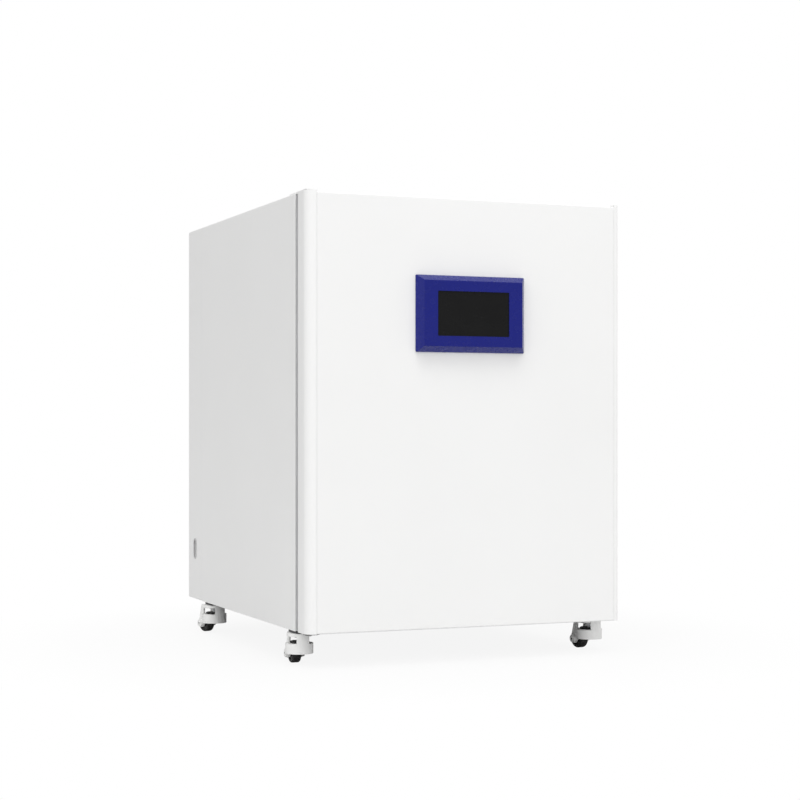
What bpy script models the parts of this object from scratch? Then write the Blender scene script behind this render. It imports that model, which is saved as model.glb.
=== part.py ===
# Carbon dioxide incubator on levelling casters.
# Metres, +Z up. The origin is on the floor, under the middle of the object.
# The door faces -Y and hangs on the left, seen from the front.

import math

import bmesh
import bpy
from mathutils import Matrix, Vector

# Cabinet
CABINET_WIDTH = 0.675
CABINET_HEIGHT = 0.850
CABINET_DEPTH = 0.767
CABINET_LIFT = 0.068
REAR_COVER_DEPTH = 0.114
REAR_JOINT = 0.0008
REAR_ROUNDING = 0.006
BASE_PAN_HEIGHT = 0.030
PUNCH = 0.010
SHEET = 0.0015
SHEET_BEND = 0.003
SEAT_GAP = 0.0003

# Outer door
DOOR_THICKNESS = 0.052
DOOR_STANDOFF = 0.0145
DOOR_EDGE_WIDTH = 0.021
DOOR_GRIP_WIDTH = 0.0096
DOOR_EDGE_RADIUS = 0.020
DOOR_GRIP_RADIUS = 0.003
DOOR_EDGE_WALL = 0.002
DOOR_PANEL_DROP = 0.003
DOOR_PLUG_RISE = 0.006
DOOR_GASKET_WIDTH = 0.018
DOOR_GASKET_INSET = 0.010
HINGE_INSET = 0.0105
HINGE_PLATE = 0.003
HINGE_NOSE = 0.0065
HINGE_ARM_EDGE = 0.0045
HINGE_ARM_WIDTH = 0.0235
HINGE_ARM_GRIP = 0.050
HINGE_ARM_SIDESTEP = 0.027
HINGE_PIN_RADIUS = 0.004
HINGE_PIN_LENGTH = 0.018
BUSH_LENGTH = 0.021

# Screen
SCREEN_PROUD = 0.0194
SCREEN_WIDTH = 0.234
SCREEN_HEIGHT = 0.151
SCREEN_CHAMFER = 0.011
SCREEN_RIM = 0.003
SCREEN_CENTRE_HEIGHT = 0.6187
SCREEN_FROM_MIDDLE = 0.0046
DISPLAY_WIDTH = 0.154
DISPLAY_HEIGHT = 0.088
DISPLAY_LIP = 0.0015
DISPLAY_BORDER = 0.0085
MODULE_DEPTH = 0.022

# Front frame and inner chamber
RIM_WIDTH = 0.0405
RIM_WIDTH_BOTTOM = 0.052
FRAME_RECESS = 0.036
FRAME_SHEET = 0.002
SIDE_WALL = 0.0775
CHAMBER_FLOOR = 0.110
CHAMBER_CEILING = 0.100
REAR_WALL = 0.097
CHAMBER_RADIUS = 0.040
CHAMBER_SHEET = 0.0015
JACKET_THICKNESS = 0.050

# Glass door
GLASS_THICKNESS = 0.006
GLASS_OVERLAP = 0.014
CHAMBER_GASKET_THICKNESS = 0.008
CHAMBER_GASKET_WIDTH = 0.010
GLASS_HINGE_OFFSET = 0.0105
GLASS_KNUCKLE_RADIUS = 0.005
GLASS_PIN_RADIUS = 0.002
GLASS_LEAF_LENGTH = 0.045
GLASS_HINGE_INSET = 0.070
GLASS_LEAF_HEIGHT = 0.040
LATCH_FROM_EDGE = 0.013
LATCH_TONGUE = 0.004
LATCH_PLAY = 0.001
KEEPER_SHEET = 0.003
KEEPER_REACH = 0.015

# Shelves, racks and pan
SHELF_COUNT = 3
SHELF_SPACING = 0.150
FIRST_SHELF_HEIGHT = 0.150
SHELF_SETBACK = 0.050
SHELF_FROM_DUCT = 0.027
SHELF_SHEET = 0.0015
SHELF_FLANGE = 0.012
RUNNER_WIDTH = 0.012
RUNNER_OPENING = 0.010
RUNNER_CLEARANCE = 0.0007
PAN_FROM_SIDE = 0.045
PAN_SHORTER = 0.025
PAN_HEIGHT = 0.028

# Air duct, filter and fan
DUCT_FROM_PORT = 0.035
DUCT_FROM_CEILING = 0.050
DUCT_DEPTH = 0.038
FILTER_SIZE = 0.200
FILTER_THICKNESS = 0.028
FILTER_FROM_FAN = 0.030
FAN_FROM_CEILING = 0.120
FAN_RADIUS = 0.060
FAN_BLADES = 8
FAN_BLADE_HEIGHT = 0.018
SHAFT_RADIUS = 0.004
MOTOR_RADIUS = 0.034
MOTOR_LENGTH = 0.052

# Rear compartment
PORT_FROM_SIDE = 0.055
PORT_FROM_CEILING = 0.110
PORT_RADIUS = 0.021
PORT_WALL = 0.002
PORT_FLANGE = 0.0015
PLUG_LENGTH = 0.060
FITTING_PROUD = 0.016
SWITCH_SLOT_HEIGHT = 0.042
SWITCH_SLOT_WIDTH = 0.015
SWITCH_TRIM_WALL = 0.002
SWITCH_COLLAR = 0.014
SWITCH_FROM_REAR = 0.060
ROCKER_DEPTH = 0.010
ROCKER_TILT = 6.0
SWITCH_HEIGHT = 0.116
LOUVRE_COUNT = 7
LOUVRE_PITCH = 0.016
LOUVRE_WIDTH = 0.130
LOUVRE_HEIGHT = 0.006
LOUVRE_FROM_MIDDLE = 0.105
FIRST_LOUVRE = 0.100
GAS_THREAD_RADIUS = 0.006
GAS_FROM_SIDE = 0.1175
GAS_HEIGHT = 0.620
MAINS_FROM_SIDE = 0.0875
MAINS_FROM_BOTTOM = 0.075
MAINS_WIDTH = 0.030
MAINS_HEIGHT = 0.024
BOARD_WIDTH = 0.200
BOARD_HEIGHT = 0.150
BOARD_THICKNESS = 0.0016
BOARD_STAND_OFF = 0.012
BOARD_HOLE_INSET = 0.010
BOARD_FROM_SIDE = 0.1725
BOARD_FROM_BOTTOM = 0.420
SUPPLY_WIDTH = 0.100
SUPPLY_HEIGHT = 0.180
SUPPLY_DEPTH = 0.045
SUPPLY_FROM_SIDE = 0.0675
SUPPLY_FROM_BOTTOM = 0.300

# Levelling casters
CASTER_ANGLES = {"front_left": -2.0, "front_right": 9.0, "rear_left": 15.6, "rear_right": -15.6}
CASTER_FROM_SIDE = 0.0175
CASTER_FROM_FRONT = 0.026
CASTER_FROM_REAR = 0.155
CASTER_PLATE = 0.005
CASTER_PLATE_WIDTH = 0.029
CASTER_PLATE_LENGTH = 0.050
CASTER_TRAIL = 0.032
WHEEL_RADIUS = 0.020
WHEEL_WIDTH = 0.018
WHEEL_SIDES = 20
AXLE_RADIUS = 0.003
RING_RADIUS = 0.0275
RING_WALL = 0.0035
RING_LOW = 0.0225
RING_HIGH = 0.0425
RING_WEB = 0.0017
WINDOW_HIGH = 0.0560
HEAD_RADIUS = 0.0245
CHEEK_THICKNESS = 0.004
NOSE_ANGLE = 28.0
WHEEL_SIDE_CLEARANCE = 0.002
KINGPIN_RADIUS = 0.0075
KINGPIN_HEAD = 0.0022
KINGPIN_BORE = 0.0042
NUT_RADIUS = 0.0185
NUT_TEETH = 10
NUT_TOOTH_DEPTH = 0.0015
NUT_HEIGHT = 0.0035
FOOT_PAD_RADIUS = 0.020
FOOT_PAD_HEIGHT = 0.0065
STEM_RADIUS = 0.003
STEM_SPARE = 0.0035
CORNER_STEPS = 4

# Places worked out from the sizes
TOTAL_DEPTH = SCREEN_PROUD + DOOR_THICKNESS + DOOR_STANDOFF + CABINET_DEPTH + FITTING_PROUD
DOOR_FRONT = SCREEN_PROUD - TOTAL_DEPTH / 2
DOOR_BACK = DOOR_FRONT + DOOR_THICKNESS
BODY_FRONT = DOOR_BACK + DOOR_STANDOFF
BODY_BACK = BODY_FRONT + CABINET_DEPTH
SEAM = BODY_BACK - REAR_COVER_DEPTH
SIDE = CABINET_WIDTH / 2
BASE = CABINET_LIFT
TOP = BASE + CABINET_HEIGHT
MIDDLE = (BASE + TOP) / 2
DOOR_HINGE = Vector((HINGE_INSET - SIDE, DOOR_FRONT + DOOR_THICKNESS / 2, BASE))
BULKHEAD_FRONT = SEAM - SHEET - SEAT_GAP
PANEL_LEFT = DOOR_EDGE_WIDTH + SEAT_GAP - SIDE
PANEL_RIGHT = SIDE - DOOR_GRIP_WIDTH - SEAT_GAP
PANEL_MIDDLE = (PANEL_LEFT + PANEL_RIGHT) / 2

CHAMBER_WIDTH = CABINET_WIDTH - 2 * SIDE_WALL
CHAMBER_HEIGHT = CABINET_HEIGHT - CHAMBER_FLOOR - CHAMBER_CEILING
CHAMBER_DEPTH = CABINET_DEPTH - REAR_COVER_DEPTH - FRAME_RECESS - REAR_WALL
FRAME_FACE = BODY_FRONT + FRAME_RECESS
RECESS_WIDTH = CABINET_WIDTH - 2 * RIM_WIDTH
RECESS_LOW = BASE + RIM_WIDTH_BOTTOM
RECESS_HIGH = TOP - RIM_WIDTH - 0.006
CHAMBER_LOW = BASE + CHAMBER_FLOOR
CHAMBER_HIGH = CHAMBER_LOW + CHAMBER_HEIGHT
CHAMBER_MIDDLE = (CHAMBER_LOW + CHAMBER_HIGH) / 2
CHAMBER_FRONT = FRAME_FACE + FRAME_SHEET + SEAT_GAP
CHAMBER_BACK = CHAMBER_FRONT + CHAMBER_DEPTH
JACKET_BACK = BULKHEAD_FRONT - SEAT_GAP

GLASS_BACK = FRAME_FACE - CHAMBER_GASKET_THICKNESS
GLASS_FRONT = GLASS_BACK - GLASS_THICKNESS
GLASS_WIDTH = CHAMBER_WIDTH + 2 * GLASS_OVERLAP
GLASS_HEIGHT = CHAMBER_HEIGHT + 2 * GLASS_OVERLAP
GLASS_HINGE = Vector((-GLASS_WIDTH / 2 - GLASS_HINGE_OFFSET, GLASS_FRONT - 0.0077, CHAMBER_MIDDLE))
LATCH = Vector((GLASS_WIDTH / 2 - LATCH_FROM_EDGE, GLASS_FRONT, CHAMBER_MIDDLE))

SHELF_FRONT = FRAME_FACE + SHELF_SETBACK
SHELF_DEPTH = CHAMBER_DEPTH - SHELF_SETBACK - DUCT_DEPTH - SHELF_FROM_DUCT
PAN_DEPTH = SHELF_DEPTH - PAN_SHORTER
CHAMBER_SIDE = CHAMBER_WIDTH / 2
RACK_FACE = CHAMBER_SIDE - SHEET - SEAT_GAP
SHELF_SIDE = RACK_FACE - RUNNER_CLEARANCE
DUCT_FRONT = CHAMBER_BACK - SEAT_GAP - DUCT_DEPTH
SCREEN_PLACE = (SCREEN_FROM_MIDDLE, BASE + SCREEN_CENTRE_HEIGHT)
FAN_MIDDLE = CHAMBER_HIGH - FAN_FROM_CEILING
PORT_MIDDLE = CHAMBER_HIGH - PORT_FROM_CEILING
PORT_OFFSET = CHAMBER_WIDTH / 2 - PORT_FROM_SIDE
DUCT_WIDTH = 2 * (PORT_OFFSET - DUCT_FROM_PORT)
DUCT_HEIGHT = CHAMBER_HEIGHT - 2 * DUCT_FROM_CEILING
FILTER_MIDDLE = FAN_MIDDLE - FAN_RADIUS - FILTER_FROM_FAN - FILTER_SIZE / 2
PAN_WIDTH = CHAMBER_WIDTH - 2 * PAN_FROM_SIDE
GAS_PLACE = (GAS_FROM_SIDE - SIDE, BASE + GAS_HEIGHT)
MAINS_PLACE = (MAINS_FROM_SIDE - SIDE, BASE + MAINS_FROM_BOTTOM)
SWITCH_Y = BODY_BACK - SWITCH_FROM_REAR
SWITCH_Z = BASE + SWITCH_HEIGHT
ROCKER_PIVOT = Vector((ROCKER_DEPTH - SIDE, SWITCH_Y, SWITCH_Z))
PLATE_LOW = BASE - CASTER_PLATE
HEAD_TOP = PLATE_LOW - SEAT_GAP
STEM_TOP = BASE + STEM_SPARE
CASTER_WHEELBASE = CABINET_DEPTH - CASTER_FROM_FRONT - CASTER_FROM_REAR
CHEEK_INNER = WHEEL_WIDTH / 2 + WHEEL_SIDE_CLEARANCE
CHEEK_OUTER = CHEEK_INNER + CHEEK_THICKNESS

# Looks: colour, roughness, metallic
WHITE_PAINT = ((0.90, 0.90, 0.90), 0.38, 0.0)
DARK_STEEL = ((0.07, 0.07, 0.08), 0.45, 0.6)
ZINC = ((0.55, 0.56, 0.58), 0.40, 0.9)
STAINLESS = ((0.66, 0.67, 0.68), 0.28, 1.0)
LIGHT_CASTING = ((0.72, 0.72, 0.71), 0.50, 0.1)
BLACK_NYLON = ((0.02, 0.02, 0.02), 0.55, 0.0)
BLUE_PLASTIC = ((0.03, 0.04, 0.22), 0.35, 0.0)
BLACK_GLASS = ((0.015, 0.015, 0.015), 0.12, 0.0)
CLEAR_GLASS = ((0.80, 0.88, 0.86), 0.03, 0.0)
SILICONE = ((0.80, 0.80, 0.78), 0.60, 0.0)
GREY_RUBBER = ((0.55, 0.55, 0.56), 0.70, 0.0)
FOAM = ((0.85, 0.80, 0.60), 0.90, 0.0)
FILTER_PAPER = ((0.92, 0.92, 0.90), 0.85, 0.0)
WHITE_PLASTIC = ((0.86, 0.86, 0.85), 0.45, 0.0)
CIRCUIT_GREEN = ((0.02, 0.20, 0.08), 0.50, 0.0)
BRASS = ((0.72, 0.52, 0.22), 0.35, 1.0)


def clear_scene():
    for obj in list(bpy.data.objects):
        bpy.data.objects.remove(obj, do_unlink=True)


def along_x(u, v, w):
    return (w, u, v)


def along_y(u, v, w):
    return (u, w, v)


def along_z(u, v, w):
    return (u, v, w)


def arc(centre, radius, start, end, steps):
    """Points on an arc, both ends included; angles in degrees."""
    points = []
    for step in range(steps + 1):
        angle = math.radians(start + (end - start) * step / steps)
        points.append((centre[0] + radius * math.cos(angle), centre[1] + radius * math.sin(angle)))
    return points


def rounded_rectangle(width, height, radius, centre=(0.0, 0.0), steps=CORNER_STEPS):
    """Outline of a rectangle with round corners, anticlockwise."""
    points = []
    for quarter, (side_u, side_v) in enumerate(((1, 1), (-1, 1), (-1, -1), (1, -1))):
        corner = (centre[0] + side_u * (width / 2 - radius), centre[1] + side_v * (height / 2 - radius))
        points += arc(corner, radius, 90 * quarter, 90 * quarter + 90, steps)
    return points


def channel(width, height, radius, thickness, steps=CORNER_STEPS):
    """Section of a bent sheet channel: web on top, legs down, centred on u = 0, legs ending at v = 0."""
    half = width / 2
    right = (half - radius, height - radius)
    left = (radius - half, height - radius)
    outer = [(half, 0.0)] + arc(right, radius, 0, 90, steps)
    outer += arc(left, radius, 90, 180, steps) + [(-half, 0.0)]
    inner = [(thickness - half, 0.0)] + arc(left, radius - thickness, 180, 90, steps)
    inner += arc(right, radius - thickness, 90, 0, steps) + [(half - thickness, 0.0)]
    return outer + inner


def obround(width, height, centre=(0.0, 0.0), steps=6):
    """Upright slot outline with round ends."""
    reach = (height - width) / 2
    points = arc((centre[0], centre[1] + reach), width / 2, 0, 180, steps)
    return points + arc((centre[0], centre[1] - reach), width / 2, 180, 360, steps)


def ring_at(outline, place, w):
    return [place(u, v, w) for u, v in outline]


def loft(bm, rings, closed=False):
    """Joins rings of equal length side by side; closed makes a frame, otherwise both ends are capped."""
    rows = [[bm.verts.new(point) for point in ring] for ring in rings]
    pairs = list(zip(rows, rows[1:]))
    if closed:
        pairs.append((rows[-1], rows[0]))
    for near, far in pairs:
        for index, point in enumerate(near):
            after = (index + 1) % len(near)
            bm.faces.new((point, near[after], far[after], far[index]))
    if not closed:
        bm.faces.new(rows[0])
        bm.faces.new(list(reversed(rows[-1])))


def prism(bm, outline, place, low, high):
    loft(bm, [ring_at(outline, place, low), ring_at(outline, place, high)])


def block(bm, low, high):
    outline = [(low[0], low[1]), (high[0], low[1]), (high[0], high[1]), (low[0], high[1])]
    prism(bm, outline, along_z, low[2], high[2])


def turned(bm, profile, steps, closed=False):
    """Turns a profile of (radius, height) points about Z."""
    points = [bm.verts.new((radius, 0.0, height)) for radius, height in profile]
    edges = [bm.edges.new(pair) for pair in zip(points, points[1:])]
    if closed:
        edges.append(bm.edges.new((points[-1], points[0])))
    bmesh.ops.spin(
        bm, geom=points + edges, cent=(0, 0, 0), axis=(0, 0, 1), angle=math.tau, steps=steps, use_merge=True
    )
    bmesh.ops.remove_doubles(bm, verts=bm.verts, dist=1e-6)


def shade(mesh):
    mesh.shade_smooth()
    mesh.set_sharp_from_angle(angle=math.radians(32))


def paint(obj, look):
    colour, roughness, metallic = look
    material = bpy.data.materials.new(obj.name)
    material.use_nodes = True
    shader = material.node_tree.nodes["Principled BSDF"]
    shader.inputs["Base Color"].default_value = (*colour, 1.0)
    shader.inputs["Roughness"].default_value = roughness
    shader.inputs["Metallic"].default_value = metallic
    material.diffuse_color = (*colour, 1.0)
    obj.data.materials.clear()
    obj.data.materials.append(material)


def solid(name, bm, look=None, matrix=None):
    """Turns the bmesh into an object; without a look it is a tool for a Boolean."""
    if matrix is not None:
        bmesh.ops.transform(bm, matrix=matrix, verts=bm.verts)
    bmesh.ops.recalc_face_normals(bm, faces=bm.faces)
    mesh = bpy.data.meshes.new(name)
    bm.to_mesh(mesh)
    bm.free()
    shade(mesh)
    obj = bpy.data.objects.new(name, mesh)
    bpy.context.scene.collection.objects.link(obj)
    if look is None:
        obj.hide_render = True
        obj.display_type = "WIRE"
    else:
        paint(obj, look)
    return obj


def tidy(mesh):
    """Merges points that coincide and drops faces without area."""
    bm = bmesh.new()
    bm.from_mesh(mesh)
    bmesh.ops.remove_doubles(bm, verts=bm.verts, dist=2e-6)
    bmesh.ops.dissolve_degenerate(bm, dist=2e-6, edges=bm.edges)
    bm.to_mesh(mesh)
    bm.free()


def combine(target, operation, *tools):
    """Applies exact Booleans with the tools, then removes them."""
    for tool in tools:
        modifier = target.modifiers.new(tool.name, "BOOLEAN")
        modifier.operation = operation
        modifier.object = tool
    bpy.context.view_layer.update()
    graph = bpy.context.evaluated_depsgraph_get()
    mesh = bpy.data.meshes.new_from_object(target.evaluated_get(graph))
    target.modifiers.clear()
    tidy(mesh)
    material = target.data.materials[0] if target.data.materials else None
    target.data = mesh
    mesh.materials.clear()
    if material:
        mesh.materials.append(material)
    for tool in tools:
        bpy.data.objects.remove(tool, do_unlink=True)
    shade(mesh)
    return target


def cut(target, *tools):
    return combine(target, "DIFFERENCE", *tools)


def join(target, *tools):
    return combine(target, "UNION", *tools)


def tool_prism(outline, place, low, high):
    bm = bmesh.new()
    prism(bm, outline, place, low, high)
    return solid("tool", bm)


def tool_block(low, high):
    bm = bmesh.new()
    block(bm, low, high)
    return solid("tool", bm)


def tool_disc(radius, place, centre, low, high, steps=24):
    return tool_prism(arc(centre, radius, 0, 360 - 360 / steps, steps - 1), place, low, high)


def hang_on(axis_name, point, pieces, angle=0.0):
    """Gives pieces a parent empty on their joint's axis and keeps them where they were modelled."""
    empty = bpy.data.objects.new(axis_name, None)
    bpy.context.scene.collection.objects.link(empty)
    empty.location = point
    empty.rotation_euler = (0.0, 0.0, angle)
    for piece in pieces:
        piece.parent = empty
        piece.matrix_parent_inverse = (
            Matrix.Translation(point) @ Matrix.Rotation(angle, 4, "Z")
        ).inverted()
    return empty


# Casing


def make_outer_shell():
    bm = bmesh.new()
    section = channel(CABINET_WIDTH, CABINET_HEIGHT, SHEET_BEND, SHEET)
    prism(bm, [(u, v + BASE) for u, v in section], along_y, BODY_FRONT, SEAM - REAR_JOINT)
    return solid("outer_shell", bm, WHITE_PAINT)


def louvre_tools():
    """Two banks of air slots, low on the back."""
    tools = []
    for bank in (-1, 1):
        for index in range(LOUVRE_COUNT):
            height = BASE + FIRST_LOUVRE + index * LOUVRE_PITCH
            left = bank * LOUVRE_FROM_MIDDLE - LOUVRE_WIDTH / 2
            low = (left, BODY_BACK - PUNCH, height)
            tools.append(tool_block(low, (left + LOUVRE_WIDTH, BODY_BACK + PUNCH, height + LOUVRE_HEIGHT)))
    return tools


def make_rear_cover():
    """A pan that closes the rear compartment, open towards the front."""
    bm = bmesh.new()
    inner_width = CABINET_WIDTH - 2 * SHEET
    inner_height = CABINET_HEIGHT - 2 * SHEET
    rounding = REAR_ROUNDING
    slope = 0.6 * rounding
    spans = (
        (CABINET_WIDTH, CABINET_HEIGHT, SHEET_BEND, SEAM),
        (CABINET_WIDTH, CABINET_HEIGHT, SHEET_BEND, BODY_BACK - rounding),
        (CABINET_WIDTH - slope, CABINET_HEIGHT - slope, SHEET_BEND, BODY_BACK - slope / 2),
        (CABINET_WIDTH - 2 * rounding, CABINET_HEIGHT - 2 * rounding, SHEET_BEND, BODY_BACK),
    )
    rings = [ring_at(rounded_rectangle(w, h, r, (0, MIDDLE)), along_y, y) for w, h, r, y in spans]
    inner = (
        (inner_width - 2 * rounding, inner_height - 2 * rounding, SHEET_BEND, BODY_BACK - SHEET),
        (inner_width, inner_height, SHEET_BEND - SHEET, BODY_BACK - rounding - SHEET),
        (inner_width, inner_height, SHEET_BEND - SHEET, SEAM),
    )
    inner_rings = [ring_at(rounded_rectangle(w, h, r, (0, MIDDLE)), along_y, y) for w, h, r, y in inner]
    rows = [[bm.verts.new(point) for point in ring] for ring in rings + inner_rings]
    count = len(rows[0])
    back = len(rings) - 1
    for row, near in enumerate(rows):
        far = rows[(row + 1) % len(rows)]
        if row == back:
            bm.faces.new(near)
            bm.faces.new(list(reversed(far)))
            continue
        for index in range(count):
            after = (index + 1) % count
            bm.faces.new((near[index], near[after], far[after], far[index]))
    cover = solid("rear_cover", bm, WHITE_PAINT)
    slot_outline = obround(SWITCH_SLOT_WIDTH, SWITCH_SLOT_HEIGHT, (SWITCH_Y, SWITCH_Z))
    slot = tool_prism(slot_outline, along_x, -SIDE - PUNCH, -SIDE + PUNCH)
    near, far = BODY_BACK - PUNCH, BODY_BACK + PUNCH
    port = tool_disc(PORT_RADIUS + PORT_WALL + SEAT_GAP, along_y, (PORT_OFFSET, PORT_MIDDLE), near, far)
    gas = tool_disc(GAS_THREAD_RADIUS + SEAT_GAP, along_y, GAS_PLACE, near, far, 16)
    mains_outline = rounded_rectangle(MAINS_WIDTH, MAINS_HEIGHT, 0.003, MAINS_PLACE, 2)
    mains = tool_prism(mains_outline, along_y, near, far)
    return cut(cover, slot, port, gas, mains, *louvre_tools())


def make_base_pan():
    """Tray under the cabinet, with the four caster plates and their kingpins welded on."""
    bm = bmesh.new()
    width = CABINET_WIDTH - 2 * SHEET - 2 * SEAT_GAP
    section = [(u, BASE + BASE_PAN_HEIGHT - v) for u, v in channel(width, BASE_PAN_HEIGHT, SHEET_BEND, SHEET)]
    prism(bm, section, along_y, BODY_FRONT + FRAME_SHEET + SEAT_GAP, SEAM - SEAT_GAP)
    pan = solid("base_pan", bm, DARK_STEEL)
    bores = []
    for x, y, _ in CASTER_PLACES.values():
        add_caster_plate(pan, x, y)
        bores.append(tool_disc(KINGPIN_BORE, along_z, (x, y), RING_HIGH, BASE + PUNCH, 12))
    return cut(pan, *bores)


def make_front_frame():
    """Stepped frame: flat rim for the outer door's gasket, recess, and the flange round the chamber."""
    bm = bmesh.new()
    rim_width = CABINET_WIDTH - 2 * SHEET - 2 * SEAT_GAP
    rim_low = BASE + SEAT_GAP
    rim_high = TOP - SHEET - SEAT_GAP
    recess = (RECESS_WIDTH, RECESS_HIGH - RECESS_LOW, (RECESS_HIGH + RECESS_LOW) / 2)
    rim = (rim_width, rim_high - rim_low, (rim_high + rim_low) / 2)
    mouth = (CHAMBER_WIDTH, CHAMBER_HEIGHT, CHAMBER_MIDDLE)
    steps = (
        (rim, 0.0, 0.003, BODY_FRONT + FRAME_SHEET),
        (rim, 0.0, 0.003, BODY_FRONT),
        (recess, 0.0, 0.010, BODY_FRONT),
        (recess, 0.0, 0.010, FRAME_FACE),
        (mouth, 0.0, CHAMBER_RADIUS, FRAME_FACE),
        (mouth, 0.0, CHAMBER_RADIUS, FRAME_FACE + FRAME_SHEET),
        (recess, 2 * FRAME_SHEET, 0.012, FRAME_FACE + FRAME_SHEET),
        (recess, 2 * FRAME_SHEET, 0.012, BODY_FRONT + FRAME_SHEET),
    )
    rings = []
    for (width, height, middle), grow, radius, y in steps:
        outline = rounded_rectangle(width + grow, height + grow, radius, (0, middle), 4)
        rings.append(ring_at(outline, along_y, y))
    loft(bm, rings, closed=True)
    return solid("front_frame", bm, STAINLESS)


def hollow_box(name, look, width, height, depth, radius, wall, front, middle, rounding):
    """A deep-drawn box open to the front, with round corners also at its back edge."""
    bm = bmesh.new()
    rows = []
    for offset, order in ((wall, 1), (0.0, -1)):
        back = front + depth + offset
        skin = [(width + 2 * offset, height + 2 * offset, radius + offset, front)]
        for u, v in arc((0, 0), rounding + offset, 0, 90, 3):
            shrink = 2 * (rounding + offset - u)
            wide, high = width + 2 * offset - shrink, height + 2 * offset - shrink
            skin.append((wide, high, radius + offset, back - (rounding + offset) + v))
        rows.append(skin[::order])
    skins = rows[0] + rows[1]
    rings = [ring_at(rounded_rectangle(w, h, r, (0, middle), 4), along_y, y) for w, h, r, y in skins]
    points = [[bm.verts.new(point) for point in ring] for ring in rings]
    back = len(rows[0]) - 1
    for row, near in enumerate(points):
        far = points[(row + 1) % len(points)]
        if row == back:
            bm.faces.new(near)
            bm.faces.new(list(reversed(far)))
            continue
        for index in range(len(near)):
            after = (index + 1) % len(near)
            bm.faces.new((near[index], near[after], far[after], far[index]))
    return solid(name, bm, look)


def wall_openings(low, high):
    """Tools for the fan shaft and the access port, through the walls behind the chamber."""
    shaft = tool_disc(SHAFT_RADIUS + 0.004, along_y, (0, FAN_MIDDLE), low, high, 12)
    port = tool_disc(PORT_RADIUS + PORT_WALL + SEAT_GAP, along_y, (PORT_OFFSET, PORT_MIDDLE), low, high)
    return shaft, port


def make_inner_chamber():
    chamber = hollow_box(
        "inner_chamber", STAINLESS, CHAMBER_WIDTH, CHAMBER_HEIGHT, CHAMBER_DEPTH, CHAMBER_RADIUS,
        CHAMBER_SHEET, CHAMBER_FRONT, CHAMBER_MIDDLE, 0.025,
    )
    return cut(chamber, *wall_openings(CHAMBER_BACK - 0.02, CHAMBER_BACK + 0.02))


def make_insulation_jacket():
    """Foam jacket round the chamber, thicker behind it, up to the rear bulkhead."""
    bm = bmesh.new()
    fit = 2 * (CHAMBER_SHEET + SEAT_GAP)
    front = CHAMBER_FRONT + SEAT_GAP
    outer = (CHAMBER_WIDTH + fit + 2 * JACKET_THICKNESS, CHAMBER_HEIGHT + fit + 2 * JACKET_THICKNESS, 0.010)
    inner = (CHAMBER_WIDTH + fit, CHAMBER_HEIGHT + fit, CHAMBER_RADIUS + fit / 2)
    prism(bm, rounded_rectangle(*outer, (0, CHAMBER_MIDDLE), 1), along_y, front, JACKET_BACK)
    jacket = solid("insulation_jacket", bm, FOAM)
    hollow = tool_prism(
        rounded_rectangle(*inner, (0, CHAMBER_MIDDLE), 4), along_y, front - 0.01,
        CHAMBER_BACK + CHAMBER_SHEET + SEAT_GAP,
    )
    return cut(jacket, hollow, *wall_openings(CHAMBER_BACK - 0.02, JACKET_BACK + 0.02))


def make_rear_bulkhead():
    bm = bmesh.new()
    width = CABINET_WIDTH - 2 * SHEET - 2 * SEAT_GAP
    low = BASE + SHEET + SEAT_GAP
    high = TOP - SHEET - SEAT_GAP
    outline = rounded_rectangle(width - 2 * SHEET - 2 * SEAT_GAP, high - low, 0.004, (0, (low + high) / 2), 2)
    prism(bm, outline, along_y, BULKHEAD_FRONT, BULKHEAD_FRONT + SHEET)
    plate = solid("rear_bulkhead", bm, ZINC)
    return cut(plate, *wall_openings(BULKHEAD_FRONT - 0.02, BULKHEAD_FRONT + 0.02))


# Outer door


def door_edge_outlines(width, radius, steps):
    """Outer and inner outline of an edge profile: u from the outer side inward, v from the front back."""
    depth, wall = DOOR_THICKNESS, DOOR_EDGE_WALL
    outlines = []
    for inset in (0.0, wall):
        points = [(width - inset, inset)]
        points += arc((radius, radius), radius - inset, 270, 180, steps)
        rear = 0.003
        points += arc((rear, depth - rear), rear - inset, 180, 90, 3)
        points.append((width - inset, depth - inset))
        outlines.append(points)
    return outlines


def make_door_edge(name, side, width, radius, steps):
    """Hollow extrusion down one side of the door; side is -1 for the left."""
    bm = bmesh.new()
    outer, inner = door_edge_outlines(width, radius, steps)

    def corner(u, v, w):
        return (side * (SIDE - u), DOOR_FRONT + v, w)

    rings = [
        ring_at(outer, corner, BASE), ring_at(outer, corner, TOP),
        ring_at(inner, corner, TOP), ring_at(inner, corner, BASE),
    ]
    loft(bm, rings, closed=True)
    return solid(name, bm, WHITE_PAINT)


def screen_cutout(grow, low, high):
    width = DISPLAY_WIDTH + 2 * DISPLAY_BORDER + grow
    height = DISPLAY_HEIGHT + 2 * DISPLAY_BORDER + grow
    return tool_prism(rounded_rectangle(width, height, 0.001, SCREEN_PLACE, 1), along_y, low, high)


def make_door_front_panel():
    """Sheet panel between the edge profiles, bent back along its top and bottom."""
    bm = bmesh.new()
    height = CABINET_HEIGHT - DOOR_PANEL_DROP
    depth = DOOR_THICKNESS - SHEET - SEAT_GAP
    section = channel(height, depth, SHEET_BEND, SHEET)
    middle = BASE + height / 2
    outline = [(DOOR_FRONT + depth - v, middle + u) for u, v in section]
    prism(bm, outline, along_x, PANEL_LEFT, PANEL_RIGHT)
    panel = solid("door_front_panel", bm, WHITE_PAINT)
    return cut(panel, screen_cutout(2 * SEAT_GAP, DOOR_FRONT - 0.01, DOOR_FRONT + 0.01))


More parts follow.
